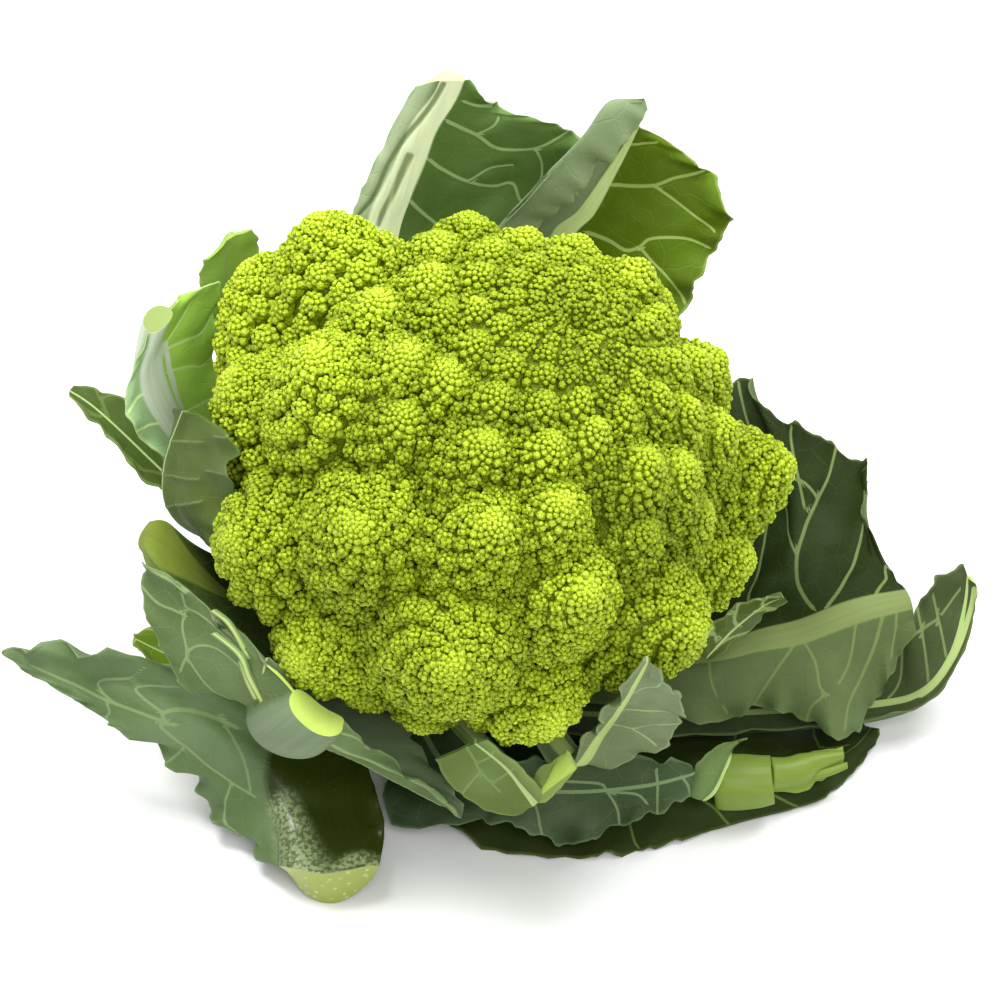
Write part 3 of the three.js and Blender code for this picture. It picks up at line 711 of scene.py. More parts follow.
def make_stem():
    share = np.linspace(0, 1, STEM_RINGS + 1)[:, None]
    turn = np.linspace(0, 2 * math.pi, STEM_SIDES, endpoint=False)[None]
    ribbed = 1 + BROAD_RIBS * np.sin(5 * turn + 2 * share) + FINE_RIBS * np.sin(13 * turn)
    radius = (STEM_RADIUS_FOOT + (STEM_RADIUS_TOP - STEM_RADIUS_FOOT) * share) * ribbed
    middle = STEM_FOOT + (STEM_TOP - STEM_FOOT) * share[..., None]
    ring = np.stack([radius * np.cos(turn), radius * np.sin(turn), 0 * radius], -1)
    walls = (middle + ring).reshape(-1, 3)
    inner = [(middle[0] + CUT_SHARE * ring[0] * r).reshape(-1, 3) for r in CUT_RINGS]
    points = np.concatenate([walls] + inner + [STEM_FOOT[None], STEM_TOP[None]])
    faces, cut = [], []
    count, rows = STEM_SIDES, STEM_RINGS + 1
    for i in range(count):
        j = (i + 1) % count
        for r in range(STEM_RINGS):
            a, b = r * count + i, r * count + j
            faces += [(a, b, b + count), (a, b + count, a + count)]
            cut += [0, 0]
        rims = [0, rows * count, (rows + 1) * count, (rows + 2) * count]
        for outer, within in zip(rims[:-1], rims[1:]):
            faces += [(outer + j, outer + i, within + i), (outer + j, within + i, within + j)]
            cut += [1, 1]
        faces += [(rims[-1] + j, rims[-1] + i, len(points) - 2)]
        faces += [(STEM_RINGS * count + i, STEM_RINGS * count + j, len(points) - 1)]
        cut += [1, 0]
    pith = np.linalg.norm(points[:, :2] - STEM_FOOT[:2], axis=1) / STEM_RADIUS_FOOT
    looks = {"values": {"pith": pith}, "flat": np.array(cut, bool), "face_values": {"cut": cut}}
    return make_piece("stem_stump", "stem", "stem", points, faces, stem_finish(), **looks)


print("stem triangles:", len(make_stem().data.polygons))

# %% [markdown]
# ## How a leaf is made
# A leaf is a thin sheet with a thick rib. Its shape is given by a few rows of points, from the stem to the
# tip, each row from the left edge to the right edge. A smooth curve runs through the rows and across them,
# and gives a fine grid. The grid is then given two faces, thin at the blade and swollen at the rib.

# %% The middle sheet of a leaf
LEAF_STEP = 1.15
HIDDEN_SHARE, HIDDEN_STEP = 0.3, 2.3
BLADE = 0.9


def curve_through(values, at):
    """A smooth curve through evenly spaced values, read at shares from 0 to 1."""
    values = np.asarray(values, float)
    span = len(values) - 1
    x = np.clip(at, 0, 1) * span
    i = np.minimum(x.astype(int), span - 1)
    f = (x - i).reshape([-1] + [1] * (values.ndim - 1))
    a, b, c, d = (values[np.clip(i + k, 0, span)] for k in (-1, 0, 1, 2))
    return b + 0.5 * f * (c - a + f * (2 * a - 5 * b + 4 * c - d + f * (3 * (b - c) + d - a)))


def way_along(points, axis):
    """Distance walked along one direction of a grid of points."""
    steps = np.linalg.norm(np.diff(points, axis=axis), axis=-1)
    return np.insert(np.cumsum(steps, axis=axis), 0, 0, axis=axis)


class Sheet:
    """The middle of a leaf: points, shares along and across, and distances to the rib and the edges."""

    def __init__(self, rows, rib, step):
        rows = np.array(rows, float)
        spans = np.linalg.norm(np.diff(rows, axis=1), axis=2).max(0)
        length = way_along(rows, 0)[-1].max()
        near = max(int(length * HIDDEN_SHARE / (HIDDEN_STEP * step)), 3)
        far = max(int(length * (1 - HIDDEN_SHARE) / step), 8)
        hidden = np.linspace(0, HIDDEN_SHARE, near, endpoint=False)
        self.t = np.concatenate([hidden, np.linspace(HIDDEN_SHARE, 1, far + 1)])
        shares = [np.arange(n) / n for n in np.maximum((spans / step).astype(int), 3)]
        columns = [c + share for c, share in enumerate(shares)] + [np.array([len(spans)])]
        self.s = np.concatenate(columns) / len(spans)
        self.rib_share = rib / len(spans)
        self.rib_column = int(np.argmin(np.abs(self.s - self.rib_share)))
        lines = curve_through(rows, self.t)
        self.points = curve_through(lines.swapaxes(0, 1), self.s).swapaxes(0, 1)
        self.measure()

    def measure(self):
        rib = self.points[:, self.rib_column]
        self.along = way_along(rib[:, None], 0)[:, 0]
        walked = way_along(self.points, 1)
        self.side = walked - walked[:, self.rib_column : self.rib_column + 1]
        self.rim = np.minimum(walked, walked[:, -1:] - walked)
        self.straight = np.linalg.norm(self.points - rib[:, None], axis=-1)
        ahead = np.gradient(self.points, axis=0)
        self.across = unit(np.gradient(self.points, axis=1))
        self.normal = unit(np.cross(self.across, ahead))

    def at(self, t, s):
        """Points of the sheet at given shares."""
        i = np.interp(np.clip(t, 0, 1), self.t, np.arange(len(self.t)))
        j = np.interp(np.clip(s, 0, 1), self.s, np.arange(len(self.s)))
        i0 = np.minimum(i.astype(int), len(self.t) - 2)
        j0 = np.minimum(j.astype(int), len(self.s) - 2)
        fi, fj = (i - i0)[:, None], (j - j0)[:, None]
        p = self.points
        low = p[i0, j0] * (1 - fj) + p[i0, j0 + 1] * fj
        high = p[i0 + 1, j0] * (1 - fj) + p[i0 + 1, j0 + 1] * fj
        return low * (1 - fi) + high * fi


print("grid step:", LEAF_STEP, "mm")

# %% [markdown]
# ## Veins
# Side veins leave the rib, lean towards the tip and fork near the edge. Each is a line on the sheet, with a
# width. Where a leaf shows its veins clearly they are drawn one by one, and a rule places the others. Every
# grid point keeps its distance to the nearest line, and the mesh rises between the veins by it. A second
# value has a minus sign on the line's other side. It runs straight through zero there, so the finish draws
# thin, sharp lines on a coarse grid.

# %% Veins on a sheet
LEAST_VEIN, VEIN_SHARE, VEIN_TAPER = 0.32, 0.68, 0.4
RULE_VEIN, RULE_FORK, FORK_SPREAD = 0.55, 0.42, 0.6
START_SPREAD, VEIN_WOBBLE, VEIN_LIFT = 0.03, 0.015, 0.16
NO_VEIN = 9.0


def smooth_line(width, corners):
    """A line on a sheet through a few corners: shares along, shares across and half widths."""
    at = np.linspace(0, 1, 5 * len(corners))
    t, s = curve_through(corners, at).T
    return t, s, np.maximum(width * (1 - VEIN_TAPER * at), LEAST_VEIN)


def drawn_lines(lines, share=1):
    """Lines given as a list. Each is a width and corners, in percent of the way along and across the leaf."""
    return [smooth_line(share * width, np.array(corners) / 100) for width, corners in lines]


def rule_veins(rib_share, counts, random):
    """Lines for both sides of a rib, each with a fork, for leaves that show no clear pattern."""
    veins = []
    for side, count in zip((-1, 1), counts):
        reach = rib_share if side < 0 else 1 - rib_share
        for i in range(count):
            start = (i + 0.6) / (count + 0.8) + random.uniform(-START_SPREAD, START_SPREAD)
            f = np.linspace(0, 1, 7)
            t = start + VEIN_LIFT * f**1.3 + VEIN_WOBBLE * np.sin(5 * f + random.uniform(0, 6))
            corners = np.stack([t, rib_share + side * f * reach], -1)
            veins.append(smooth_line(RULE_VEIN, corners))
            fork = corners[3:].copy()
            fork[:, 0] += random.choice([-1, 1]) * np.linspace(0, FORK_SPREAD, 4) / (count + 2)
            veins.append(smooth_line(RULE_FORK, fork))
    return veins


def line_distance(sheet, lines):
    """Distance of every grid point to the nearest line, in half widths, and the same with a minus sign on
    the line's other side, which stays sharp between grid points."""
    points, normal = sheet.points.reshape(-1, 3), sheet.normal.reshape(-1, 3)
    nearest = np.full(len(points), NO_VEIN)
    signed = nearest.copy()
    for t, s, half in lines:
        line = sheet.at(t, s)
        for a, b, width in zip(line[:-1], line[1:], half):
            reach = b - a
            share = np.clip((points - a) @ reach / max(reach @ reach, 1e-9), 0, 1)
            gap = np.linalg.norm(points - a - share[:, None] * reach, axis=1) / width
            turned = np.einsum("ij,ij->i", np.cross(points - a, reach), normal)
            signed = np.where(gap < nearest, np.copysign(gap, turned), signed)
            nearest = np.minimum(nearest, gap)
    return nearest.reshape(sheet.rim.shape), signed.reshape(sheet.rim.shape)


print("vein helper ready:", line_distance.__name__)

# %% [markdown]
# ## The finish of a leaf
# The upper face is dark and a little glossy, the underside paler, and both carry a waxy bloom in patches.
# Ribs and veins are pale, the rim is lighter, and a cut end shows bright moist tissue with small dots. A
# gleam, a painted reflection, can be drawn on like a vein. One function makes them all, and each leaf brings
# its own colours.

# %% Leaf finish
GRAIN = {
    "patch": 55.0, "broad": 22.0, "speck": 900.0, "bend": 120.0, "cells": 0.17, "small": 0.55, "streak": 0.9,
    "dots": 420.0,
}


def leaf_finish(name, upper, lower, stalk, vein, moist, bloom, net, rough, gloss, vein_share, shine):
    finish, shader, wire = new_finish("finish_" + name)
    place = wire.node("ShaderNodeTexCoord", out="Object")
    flat = wire.attribute("leaf_xy", "Vector")
    patch = wire.noise(place, GRAIN["patch"], 4.0)
    broad = wire.noise(place, GRAIN["broad"], 2.0)
    speck = wire.noise(place, GRAIN["speck"], 2.0)
    bend = {0: wire.noise(place, GRAIN["bend"], out="Color"), 1: (3.0, 3.0, 0.0), 2: flat}
    bent = wire.node("ShaderNodeVectorMath", {"operation": "MULTIPLY_ADD"}, bend)
    edges = {"feature": "DISTANCE_TO_EDGE", "voronoi_dimensions": "2D"}
    cells = wire.node("ShaderNodeTexVoronoi", edges, {"Vector": bent, "Scale": GRAIN["cells"]})
    small = wire.node("ShaderNodeTexVoronoi", edges, {"Vector": bent, "Scale": GRAIN["small"]})
    beside = wire.attribute("vein_side")
    vein_mask = (beside * beside).between(1.8, 0.3) * wire.attribute("vein").between(2.8, 2.0)
    net_mask = cells.between(0.04, 0.008)
    small_mask = small.between(0.09, 0.02)
    rib_mask = wire.attribute("rib").between(1.12, 0.88)
    groove_mask = wire.attribute("groove").between(1.3, 0.5)
    pale = wire.colour(*vein)
    blade = wire.colour(*upper).mixed(wire.colour(*lower), wire.attribute("under"))
    blade = blade.darker(0.58 + 0.5 * patch + 0.34 * broad)
    waxy = patch.between(0.45, 0.7) * bloom
    blade = blade.mixed(wire.colour(140, 158, 132), waxy)
    blade = blade.mixed(pale, net_mask * net + small_mask * (0.25 * net))
    blade = blade.mixed(pale, vein_share * vein_mask)
    blade = blade.mixed(pale, 0.4 * wire.attribute("rim").between(1.0, 0.1))
    lengthwise = {"Vector": flat.stretched(1.0, 0.06, 0.0), "Scale": GRAIN["streak"], "Detail": 3.0}
    streak = wire.node("ShaderNodeTexNoise", {"noise_dimensions": "2D"}, lengthwise)
    fibres = wire.colour(*stalk).darker(0.76 + 0.3 * streak + 0.2 * broad)
    colour = blade.mixed(fibres, rib_mask)
    colour = colour.mixed(wire.colour(*upper).darker(0.9), 0.75 * groove_mask)
    # Painted reflection: a pale speckled sheen along the gleam lines.
    painted_gleam = wire.attribute("gleam").between(1.5, 0.2) * (0.3 + 0.7 * speck.between(0.4, 0.6))
    colour = colour.mixed(wire.colour(152, 168, 118), 0.9 * painted_gleam)
    dots = wire.node("ShaderNodeTexVoronoi", {}, {"Vector": place, "Scale": GRAIN["dots"]})
    flesh = wire.colour(*moist).darker(0.8 + 0.4 * broad)
    flesh = flesh.mixed(wire.colour(205, 215, 140), 0.5 * dots.between(0.3, 0.12))
    colour = colour.mixed(flesh, wire.attribute("cut"))
    height = speck * 0.25 + patch * 0.4 - 0.4 * net_mask * (1 - rib_mask) + 0.3 * streak * rib_mask
    sheen = rough + 0.25 * waxy + 0.12 * speck + (gloss - rough) * rib_mask
    connect(shader, Base_Color=colour, Roughness=sheen, Normal=height.bump(0.4, 0.0005))
    shader.inputs["Specular IOR Level"].default_value = shine
    return finish


print("leaf finish ready:", leaf_finish.__name__)

# %% [markdown]
# ## Waves and teeth
# The sheet gets its life here: the rim waves and has small teeth, and the blade swells a little between the
# veins. Each wave is a sum of three sines of different lengths, so that it does not look regular.

# %% Relief of a leaf
WAVE_REACH, LEFT_START = 30, 40
FRILL_REACH, FRILL_LENGTH = 11, 19
TOOTH_REACH, TOOTH_LENGTH = 4, 9
CRUMPLE_LENGTHS = (31, 19, 12)


def waves_along(way, length, random):
    """A smooth uneven wave along a way, about one unit high."""
    total = 0
    for share in (1.0, 0.63, 0.41):
        phase = random.uniform(0, FULL_TURN)
        total = total + np.sin(2 * math.pi * way / (length * share) + phase) * share
    return total / 1.3


def crumpled(sheet, random):
    """Uneven hills over a sheet, about one unit high."""
    x, y = sheet.side, sheet.along[:, None]
    total = 0
    for length in CRUMPLE_LENGTHS:
        turn = random.uniform(0, 3.1)
        phase = random.uniform(0, FULL_TURN, 2)
        u = (x * math.cos(turn) + y * math.sin(turn)) * 2 * math.pi / length + phase[0]
        v = (y * math.cos(turn) - x * math.sin(turn)) * 2 * math.pi / (1.4 * length) + phase[1]
        total = total + np.sin(u + 0.7 * np.sin(v)) * np.cos(v) * length / CRUMPLE_LENGTHS[0]
    return total / 1.4


def leaf_relief(sheet, away, vein, wave, frill, teeth, quilt, crumple, random):
    """The middle of a leaf with long waves, a waved rim, swellings between the veins, hills and teeth."""
    on_left = sheet.side < 0
    off_rib = np.clip(away - 1, 0, 1)
    from_rib = np.minimum(1, sheet.straight / WAVE_REACH)
    ripple = wave[0] * from_rib**2 * np.sin(sheet.t[:, None] * wave[1] * 2 * math.pi + 1.3 * on_left)
    left_way, right_way = (way_along(sheet.points[:, side], 0)[:, None] for side in (0, -1))
    way = np.where(on_left, left_way + LEFT_START, right_way)
    near_rim = np.clip(1 - sheet.rim / FRILL_REACH, 0, 1) ** 2 * off_rib
    ripple = ripple + frill * near_rim * waves_along(way, FRILL_LENGTH, random)
    ripple = ripple + quilt * (1 - np.exp(-((vein * 0.4) ** 2) / 3)) * off_rib
    ripple = ripple + crumple * crumpled(sheet, random) * off_rib
    tooth = teeth * np.clip(1 - sheet.rim / TOOTH_REACH, 0, 1) ** 2 * np.clip(away - 1.2, 0, 1)
    tooth = tooth * waves_along(way, TOOTH_LENGTH, random)
    middle = sheet.points + sheet.normal * ripple[..., None]
    return middle + sheet.across * (tooth * np.sign(sheet.side))[..., None]


print("rim waves:", FRILL_LENGTH, "mm long, teeth:", TOOTH_LENGTH, "mm")

# %% [markdown]
# ## Two faces and an edge
# The rib bulges underneath, and the blade thins out towards the rim. The upper and lower faces are joined
# round the edge, and the ends of the rib are closed flat, as a knife leaves them. The values that the finish
# reads are laid over both faces.

# %% Make a leaf
LOOK = {
    "upper": (66, 88, 40), "lower": (112, 132, 88), "stalk": (160, 180, 118), "vein": (140, 160, 96),
    "moist": (170, 190, 92), "bloom": 0.15, "net": 0.16, "rough": 0.52, "gloss": 0.5, "vein_share": 0.8,
    "shine": 0.07,
}
RIM_REACH, RIM_SHARE, TONE_REACH = 2.5, 0.45, 3
GROOVE_DEPTH, VEIN_DEPTH, FLOOR_GAP = 0.5, 0.25, 0.02


def make_leaf(name, slot, rows, rib_width, rib_depth, paint, wave, seed, rib=1, veins=(0, 0),
              frill=1.0, teeth=0.4, quilt=0.35, crumple=0.35, cut=False, drawn=(), stripes=(), grooves=(),
              gleams=(), crown=(0.12, 0.12), tones=(0, 0), part="blade", step=LEAF_STEP, **look):
    """A leaf from rows of points across it; rib is the rib's column in them. The rib's width, depth, painted
    width and crown are given from the stem to the tip. wave is the height and number of its long waves, veins
    the number of ruled ones on each side, and tones say which half shows its underside's colour."""
    random = np.random.default_rng(seed)
    sheet = Sheet(rows, rib, step)
    half = curve_through(rib_width, sheet.t)[:, None] / 2
    deep = curve_through(rib_depth, sheet.t)[:, None]
    lines = rule_veins(sheet.rib_share, veins, random)
    lines += drawn_lines(drawn, VEIN_SHARE)
    vein, vein_side = line_distance(sheet, lines)
    shown = curve_through(paint, sheet.t)[:, None] / 2
    ribs = sheet.straight / np.maximum(shown, 0.05)
    if stripes:
        ribs = np.minimum(ribs, line_distance(sheet, drawn_lines(stripes))[0])
    groove = line_distance(sheet, drawn_lines(grooves))[0]
    gleam = line_distance(sheet, drawn_lines(gleams))[0]
    away = sheet.straight / half
    swell = np.sqrt(np.clip(1 - away**2, 0, 1))
    middle = leaf_relief(sheet, away, vein, wave, frill, teeth, quilt, crumple, random)
    thin = BLADE / 2 * (RIM_SHARE + (1 - RIM_SHARE) * np.clip(sheet.rim / RIM_REACH, 0, 1))
    rise = curve_through(crown, sheet.t)[:, None] * deep * swell - GROOVE_DEPTH * np.exp(-(groove**2))
    bulge = deep * swell + VEIN_DEPTH * np.exp(-(vein**2))
    top = middle + sheet.normal * (thin + rise)[..., None]
    low = middle - sheet.normal * (thin + bulge)[..., None]
    points = np.concatenate([top.reshape(-1, 3), low.reshape(-1, 3)])
    points[:, 2] = np.maximum(points[:, 2], FLOOR_GAP)
    faces, ends = leaf_faces(*sheet.rim.shape)
    side_tone = np.where(sheet.side < 0, tones[0], tones[1]) * np.clip(np.abs(sheet.side) / TONE_REACH, 0, 1)
    flat_xy = np.stack([sheet.side, sheet.along[:, None] + 0 * sheet.side, 0 * sheet.side], -1)
    values = {"under": np.concatenate([side_tone.ravel(), np.ones(sheet.rim.size)])}
    grids = {"vein": vein, "vein_side": vein_side, "rim": sheet.rim, "rib": ribs}
    for title, grid in {**grids, "groove": groove, "gleam": gleam}.items():
        values[title] = np.tile(grid.ravel(), 2)
    values["leaf_xy"] = np.tile(flat_xy.reshape(-1, 3), (2, 1))
    title = name + "_" + part
    finish = leaf_finish(title, **{**LOOK, **look})
    cut_ends = {"cut": ends * (1.0 if cut else 0.0)}
    make_piece(title, name, slot, points, faces, finish, values, ends > 0, cut_ends)
    print(name, part, "triangles:", 2 * len(faces), "veins:", len(lines))


def leaf_faces(rows, columns):
    """Quads of a closed leaf, and which of them close its ends."""
    i, j = np.meshgrid(np.arange(rows - 1), np.arange(columns - 1), indexing="ij")
    a = (i * columns + j).ravel()
    total = rows * columns
    upper = np.stack([a, a + 1, a + columns + 1, a + columns], -1)
    lower = total + upper[:, ::-1]
    left = np.arange(rows - 1) * columns
    right = left + columns - 1
    edges = [np.stack([left, left + columns, total + left + columns, total + left], -1)]
    edges.append(np.stack([right + columns, right, total + right, total + right + columns], -1))
    first = np.arange(columns - 1)
    last = first + (rows - 1) * columns
    ends = [np.stack([first + 1, first, total + first, total + first + 1], -1)]
    ends.append(np.stack([last, last + 1, total + last + 1, total + last], -1))
    faces = np.concatenate([upper, lower] + edges + ends)
    flags = np.zeros(len(faces))
    flags[-2 * (columns - 1) :] = 1
    return faces, flags


print("leaf parts:", make_leaf.__name__, leaf_faces.__name__)

# %% [markdown]
# ## Leaves behind the head
# Two tall leaves stand behind the head. The left one has a very broad pale rib, cut straight at the top, and
# its near-white colour is partly painted light. The right one is folded forward along its left half, so its
# pale underside shows beside the rib.

# %% Back leaves
make_leaf(
    "leaf_back_left", "leaf_inner", wave=(0.8, 3), seed=1, cut=True, frill=1.8, teeth=0.6, crumple=0.6,
    tones=(1, 0), rib_width=[15, 16, 17, 16, 15, 14, 13, 12], rib_depth=[6, 6, 6, 5, 4.5, 4, 3.5, 3],
    paint=[0, 0],
    drawn=[
        (0.8, [(77, 60), (71, 69), (67, 73), (66, 78), (66, 83), (68, 90), (70, 100)]),
        (0.8, [(65, 55), (62, 60), (59, 66), (57, 72), (57, 76), (52, 79), (50, 86)]),
        (0.8, [(54, 52), (51, 56), (48, 60), (44, 66), (41, 75)]), (0.5, [(66, 83), (62, 83), (57, 82)]),
        (0.6, [(88, 72), (86, 80), (86, 90)]), (0.45, [(71, 69), (74, 75), (78, 80)]),
        (0.45, [(59, 66), (62, 71), (62, 76)]),
    ],
    stripes=[(4.4, [(0, 42), (43, 42), (56, 44), (65, 47), (77, 50), (96, 64), (100, 70)])],
    grooves=[
        (0.8, [(96, 54), (78, 44), (64, 31), (51, 25), (42, 0)]), (1.2, [(66, 45), (60, 43), (46, 39)]),
    ],
    rows=[
        [(-43, 26, 12), (-34, 27, 11), (-25, 26, 12)],
        [(-46, 60, 30), (-32, 63, 26), (-17, 62, 28)],
        [(-47, 88, 56), (-30, 93, 56), (-4, 91, 54)],
        [(-41, 100, 84), (-28, 99, 82), (18, 101, 80)],
        [(-35, 103, 100), (-24, 100, 98), (27, 106, 97)],
        [(-28, 104, 116), (-20, 100, 116), (17, 106, 114)],
        [(-24, 103, 126), (-17, 100, 127), (1, 104, 121)],
        [(-22, 102, 130), (-15, 100, 134), (-8, 101, 133)],
    ],
    # The near-white stalk colour of the rib is partly the pale rib and partly painted light.
    upper=(92, 119, 58), lower=(164, 180, 140), stalk=(244, 252, 210), vein=(172, 194, 132), bloom=0.05,
    net=0.06, moist=(196, 212, 150),
)
make_leaf(
    "leaf_back_right", "leaf_inner", rib=2, wave=(0.8, 3), seed=2, frill=2.2, teeth=0.6, crumple=0.6,
    tones=(1, 0), rib_width=[12, 13, 13, 11, 9, 7, 5, 4, 3], rib_depth=[5, 6, 6, 5, 4, 3, 2.5, 2, 1.5],
    paint=[6, 7, 7, 6.5, 6, 4.5, 3, 2, 1.2],
    drawn=[
        (0.6, [(90, 69), (92, 76), (94, 84)]),
        (0.8, [(72, 69), (74, 74), (77, 79), (82, 85), (85, 95), (86, 100)]),
        (0.6, [(77, 79), (74, 84), (70, 89), (65, 96)]),
        (0.8, [(55, 72), (55, 77), (54, 81), (56, 83), (59, 84), (61, 90), (60, 97)]),
        (0.6, [(56, 83), (54, 87), (52, 93), (49, 98)]), (0.7, [(36, 70), (38, 80), (42, 88), (44, 100)]),
        (0.5, [(80, 60), (82, 50), (82, 40)]), (0.5, [(66, 60), (68, 48), (67, 36)]),
    ],
    rows=[
        [(-20, 25, 19), (-19, 24, 17), (-13, 20, 16), (-7, 13, 18)],
        [(-8, 54, 15), (-9, 53, 12), (3, 46, 6.4), (16, 38, 11)],
        [(-2, 80, 36), (-5, 79, 33), (13, 76, 28), (35, 64, 32)],
        [(5, 88, 63), (-3, 90, 60), (16, 91, 57), (46, 78, 58)],
        [(8, 91, 86), (-2, 92, 87), (16, 95, 84), (50, 80, 76)],
        [(18, 89, 102), (9, 90, 107), (23, 96, 94), (58, 86, 92)],
        [(28, 90, 115), (21, 91, 122), (29, 98, 105), (61, 89, 98)],
        [(35, 92, 123), (29, 94, 131), (33, 99, 113), (53, 94, 110)],
        [(39, 95, 127), (37, 96, 131), (36, 99, 120), (41, 99, 117)],
    ],
    upper=(83, 108, 17), lower=(131, 149, 110), stalk=(204, 222, 150), vein=(164, 186, 104), bloom=0.03,
    net=0.06,
)

# %% [markdown]
# ## Leaves on the right
# The wide dark leaf on the right spreads from under the head. Its broad pale rib was cut at the end and its
# front half droops. Behind it a second leaf shows its waxy face, and a third, nearly black-green, lies on
# the table with a torn rib.

# %% Right leaves
make_leaf(
    "leaf_right", "leaf_inner", rib=2, wave=(0.7, 4), seed=3, cut=True, frill=2.4, teeth=0.7, crumple=0.8,
    tones=(0, 1), rib_width=[13, 14, 15, 15, 14, 12, 11, 11, 10],
    rib_depth=[5, 5, 5, 4.5, 4, 3.5, 3.5, 3, 3], paint=[3, 3, 4, 6, 6.5, 6.5, 6, 5.5, 5],
    drawn=[
        (0.75, [(54, 61), (49, 52), (49, 45), (52, 37), (57, 26), (61, 15), (63, 0)]),
        (0.75, [(58, 62), (64, 55), (71, 43), (76, 28), (78, 10)]),
        (0.65, [(79, 61), (89, 48), (93, 30), (99, 0)]), (0.55, [(57, 24), (54, 22), (50, 23), (46, 28)]),
        (0.6, [(34, 60), (34, 51), (35, 47), (36, 42), (38, 30), (38, 17), (38, 2)]),
        (0.5, [(53, 30), (53, 14), (54, 3)]), (0.5, [(49, 45), (45, 38), (44, 28)]),
        (0.7, [(82, 70), (75, 80), (69, 84), (63, 88), (61, 96)]),
        (0.6, [(49, 69), (43, 77), (39, 87), (36, 100)]), (0.6, [(51, 70), (54, 77), (55, 84), (57, 86)]),
        (0.5, [(56, 86), (53, 91), (52, 98)]), (0.5, [(27, 70), (27, 81), (29, 95)]),
        (0.5, [(67, 70), (64, 78), (60, 83)]), (0.5, [(90, 70), (88, 80), (84, 90)]),
    ],
    rows=[
        [(-8, 12, 22), (-7, 8, 21), (-6, 3, 20), (-7, -5, 21)],
        [(16, 20, 25), (17, 10, 23), (18, -1, 22), (18, -13, 21)],
        [(46, 40, 32), (50, 16, 28), (50, -7, 29), (53, -19, 17)],
        [(62, 64, 62), (70, 34, 40), (67, -5, 33), (66, -15, 19)],
        [(71, 54, 60), (78, 30, 44), (77, -4, 35), (77, -17, 17)],
        [(88, 47, 54), (87, 24, 44), (88, -2, 39), (90, -19, 12)],
        [(97, 40, 52), (94, 20, 45), (95, -1, 41), (97, -13, 21)],
        [(94, 26, 49), (97, 12, 45), (100, -0.5, 42), (102, -9, 29)],
        [(101, 9, 45), (102, 5, 44), (105, 0, 43), (106, -4, 36)],
    ],
    upper=(33, 45, 14), lower=(84, 100, 60), stalk=(117, 131, 78), vein=(112, 130, 76), bloom=0.03,
    net=0.05,
)
make_leaf(
    "leaf_far_right", "leaf_outer", wave=(0.4, 3), seed=4, cut=True, frill=1.4, teeth=0.6,
    rib_width=[12, 11, 10, 7, 5, 4.5, 4, 3], rib_depth=[4, 4, 3.5, 3, 2.5, 2, 2, 1.5],
    paint=[2, 2, 2, 1.5, 1, 1],
    stripes=[(1.1, [(56, 52), (71, 56), (84, 70), (95, 85)])],
    drawn=[
        (0.6, [(59, 13), (68, 19), (76, 25), (90, 35)]), (0.5, [(70, 45), (73, 30), (78, 10)]),
        (0.5, [(60, 45), (62, 30), (66, 0)]), (0.5, [(45, 45), (50, 30), (54, 0)]),
    ],
    rows=[
        [(-14, 4, 9), (-14, -3, 8), (-15, -10, 9)],
        [(30, 3, 10), (32, -8, 8), (32, -16, 9)],
        [(70, 8, 13), (74, -7, 9), (75, -14, 10)],
        [(98, 8, 20), (99, -5, 10), (102, -9, 10)],
        [(106, 9, 26), (110, -4, 14), (113, -6, 14)],
        [(110, 13, 31), (117, 3, 20), (120, 2, 20)],
        [(113, 17, 34), (121, 13, 28), (124, 12, 28)],
        [(121, 20, 36.5), (122, 18, 34), (124, 16, 33.5)],
    ],
    upper=(61, 72, 41), lower=(88, 104, 68), stalk=(150, 170, 104), vein=(112, 130, 80), bloom=0.1,
    net=0.05,
)
make_leaf(
    "leaf_bottom_right", "leaf_inner", wave=(0, 3), seed=5, frill=0.9, teeth=0.7, crumple=0.2,
    rib_width=[10, 12, 13, 17, 10, 6, 4], rib_depth=[3, 3, 3.5, 4.5, 3, 2, 1.2],
    paint=[1.5, 1.5, 1.5, 1, 0, 0],
    drawn=[
        (0.5, [(71, 29), (70, 23), (69, 17), (69, 6)]), (0.5, [(71, 29), (76, 33), (82, 38)]),
        (0.5, [(68, 45), (72, 52), (76, 61)]), (0.5, [(55, 60), (58, 75), (60, 95)]),
        (0.5, [(42, 55), (46, 70), (48, 95)]), (0.5, [(30, 55), (34, 70), (37, 95)]),
        (0.5, [(45, 45), (50, 30), (53, 5)]),
    ],
    rows=[
        [(-14, -11, 6.5), (-18, -15, 5.5), (-24, -20, 6)],
        [(8, -10, 3), (6, -27, 5), (-6, -46, 1)],
        [(34, -6, 2), (34, -31, 5), (27, -50, 0.6)],
        [(58, -5, 2), (60, -32, 8), (62, -38, 0.6)],
        [(80, -4, 2), (79, -25, 5), (84, -29, 0.6)],
        [(93, -4, 2.5), (91, -16, 4), (97, -12, 1.5)],
        [(96, -7, 3.5), (97, -8, 4), (99, -8, 4)],
    ],
    upper=(42, 53, 18), lower=(52, 66, 28), stalk=(100, 122, 52), vein=(96, 118, 56), bloom=0.02,
    net=0.03,
)

# %% [markdown]
# ## The broken stalk
# On the leaf that lies on the table the stalk was snapped: a bright block of it is left, with a torn rib that
# splits into strands, and a strip of peeled skin on its other end. Each is made as a narrow leaf whose rib is
# about as wide as the piece, so it is round. Torn pieces are small and mostly have no waves or teeth, so they
# share one form, and each gives only what differs.

# %% Broken stalk
TORN_FORM = {
    "step": 0.5, "rib": 1, "wave": (0, 1), "frill": 0, "teeth": 0, "quilt": 0, "crumple": 0,
    "crown": (0.8, 0.8),
}
TORN_LOOK = {
    "stalk": (110, 132, 45), "moist": (140, 162, 74), "bloom": 0.0, "net": 0.0, "gloss": 0.34, "shine": 0.3,
}


def make_torn(name, slot, part, **own):
    make_leaf(name, slot, part=part, **{**TORN_FORM, **own})


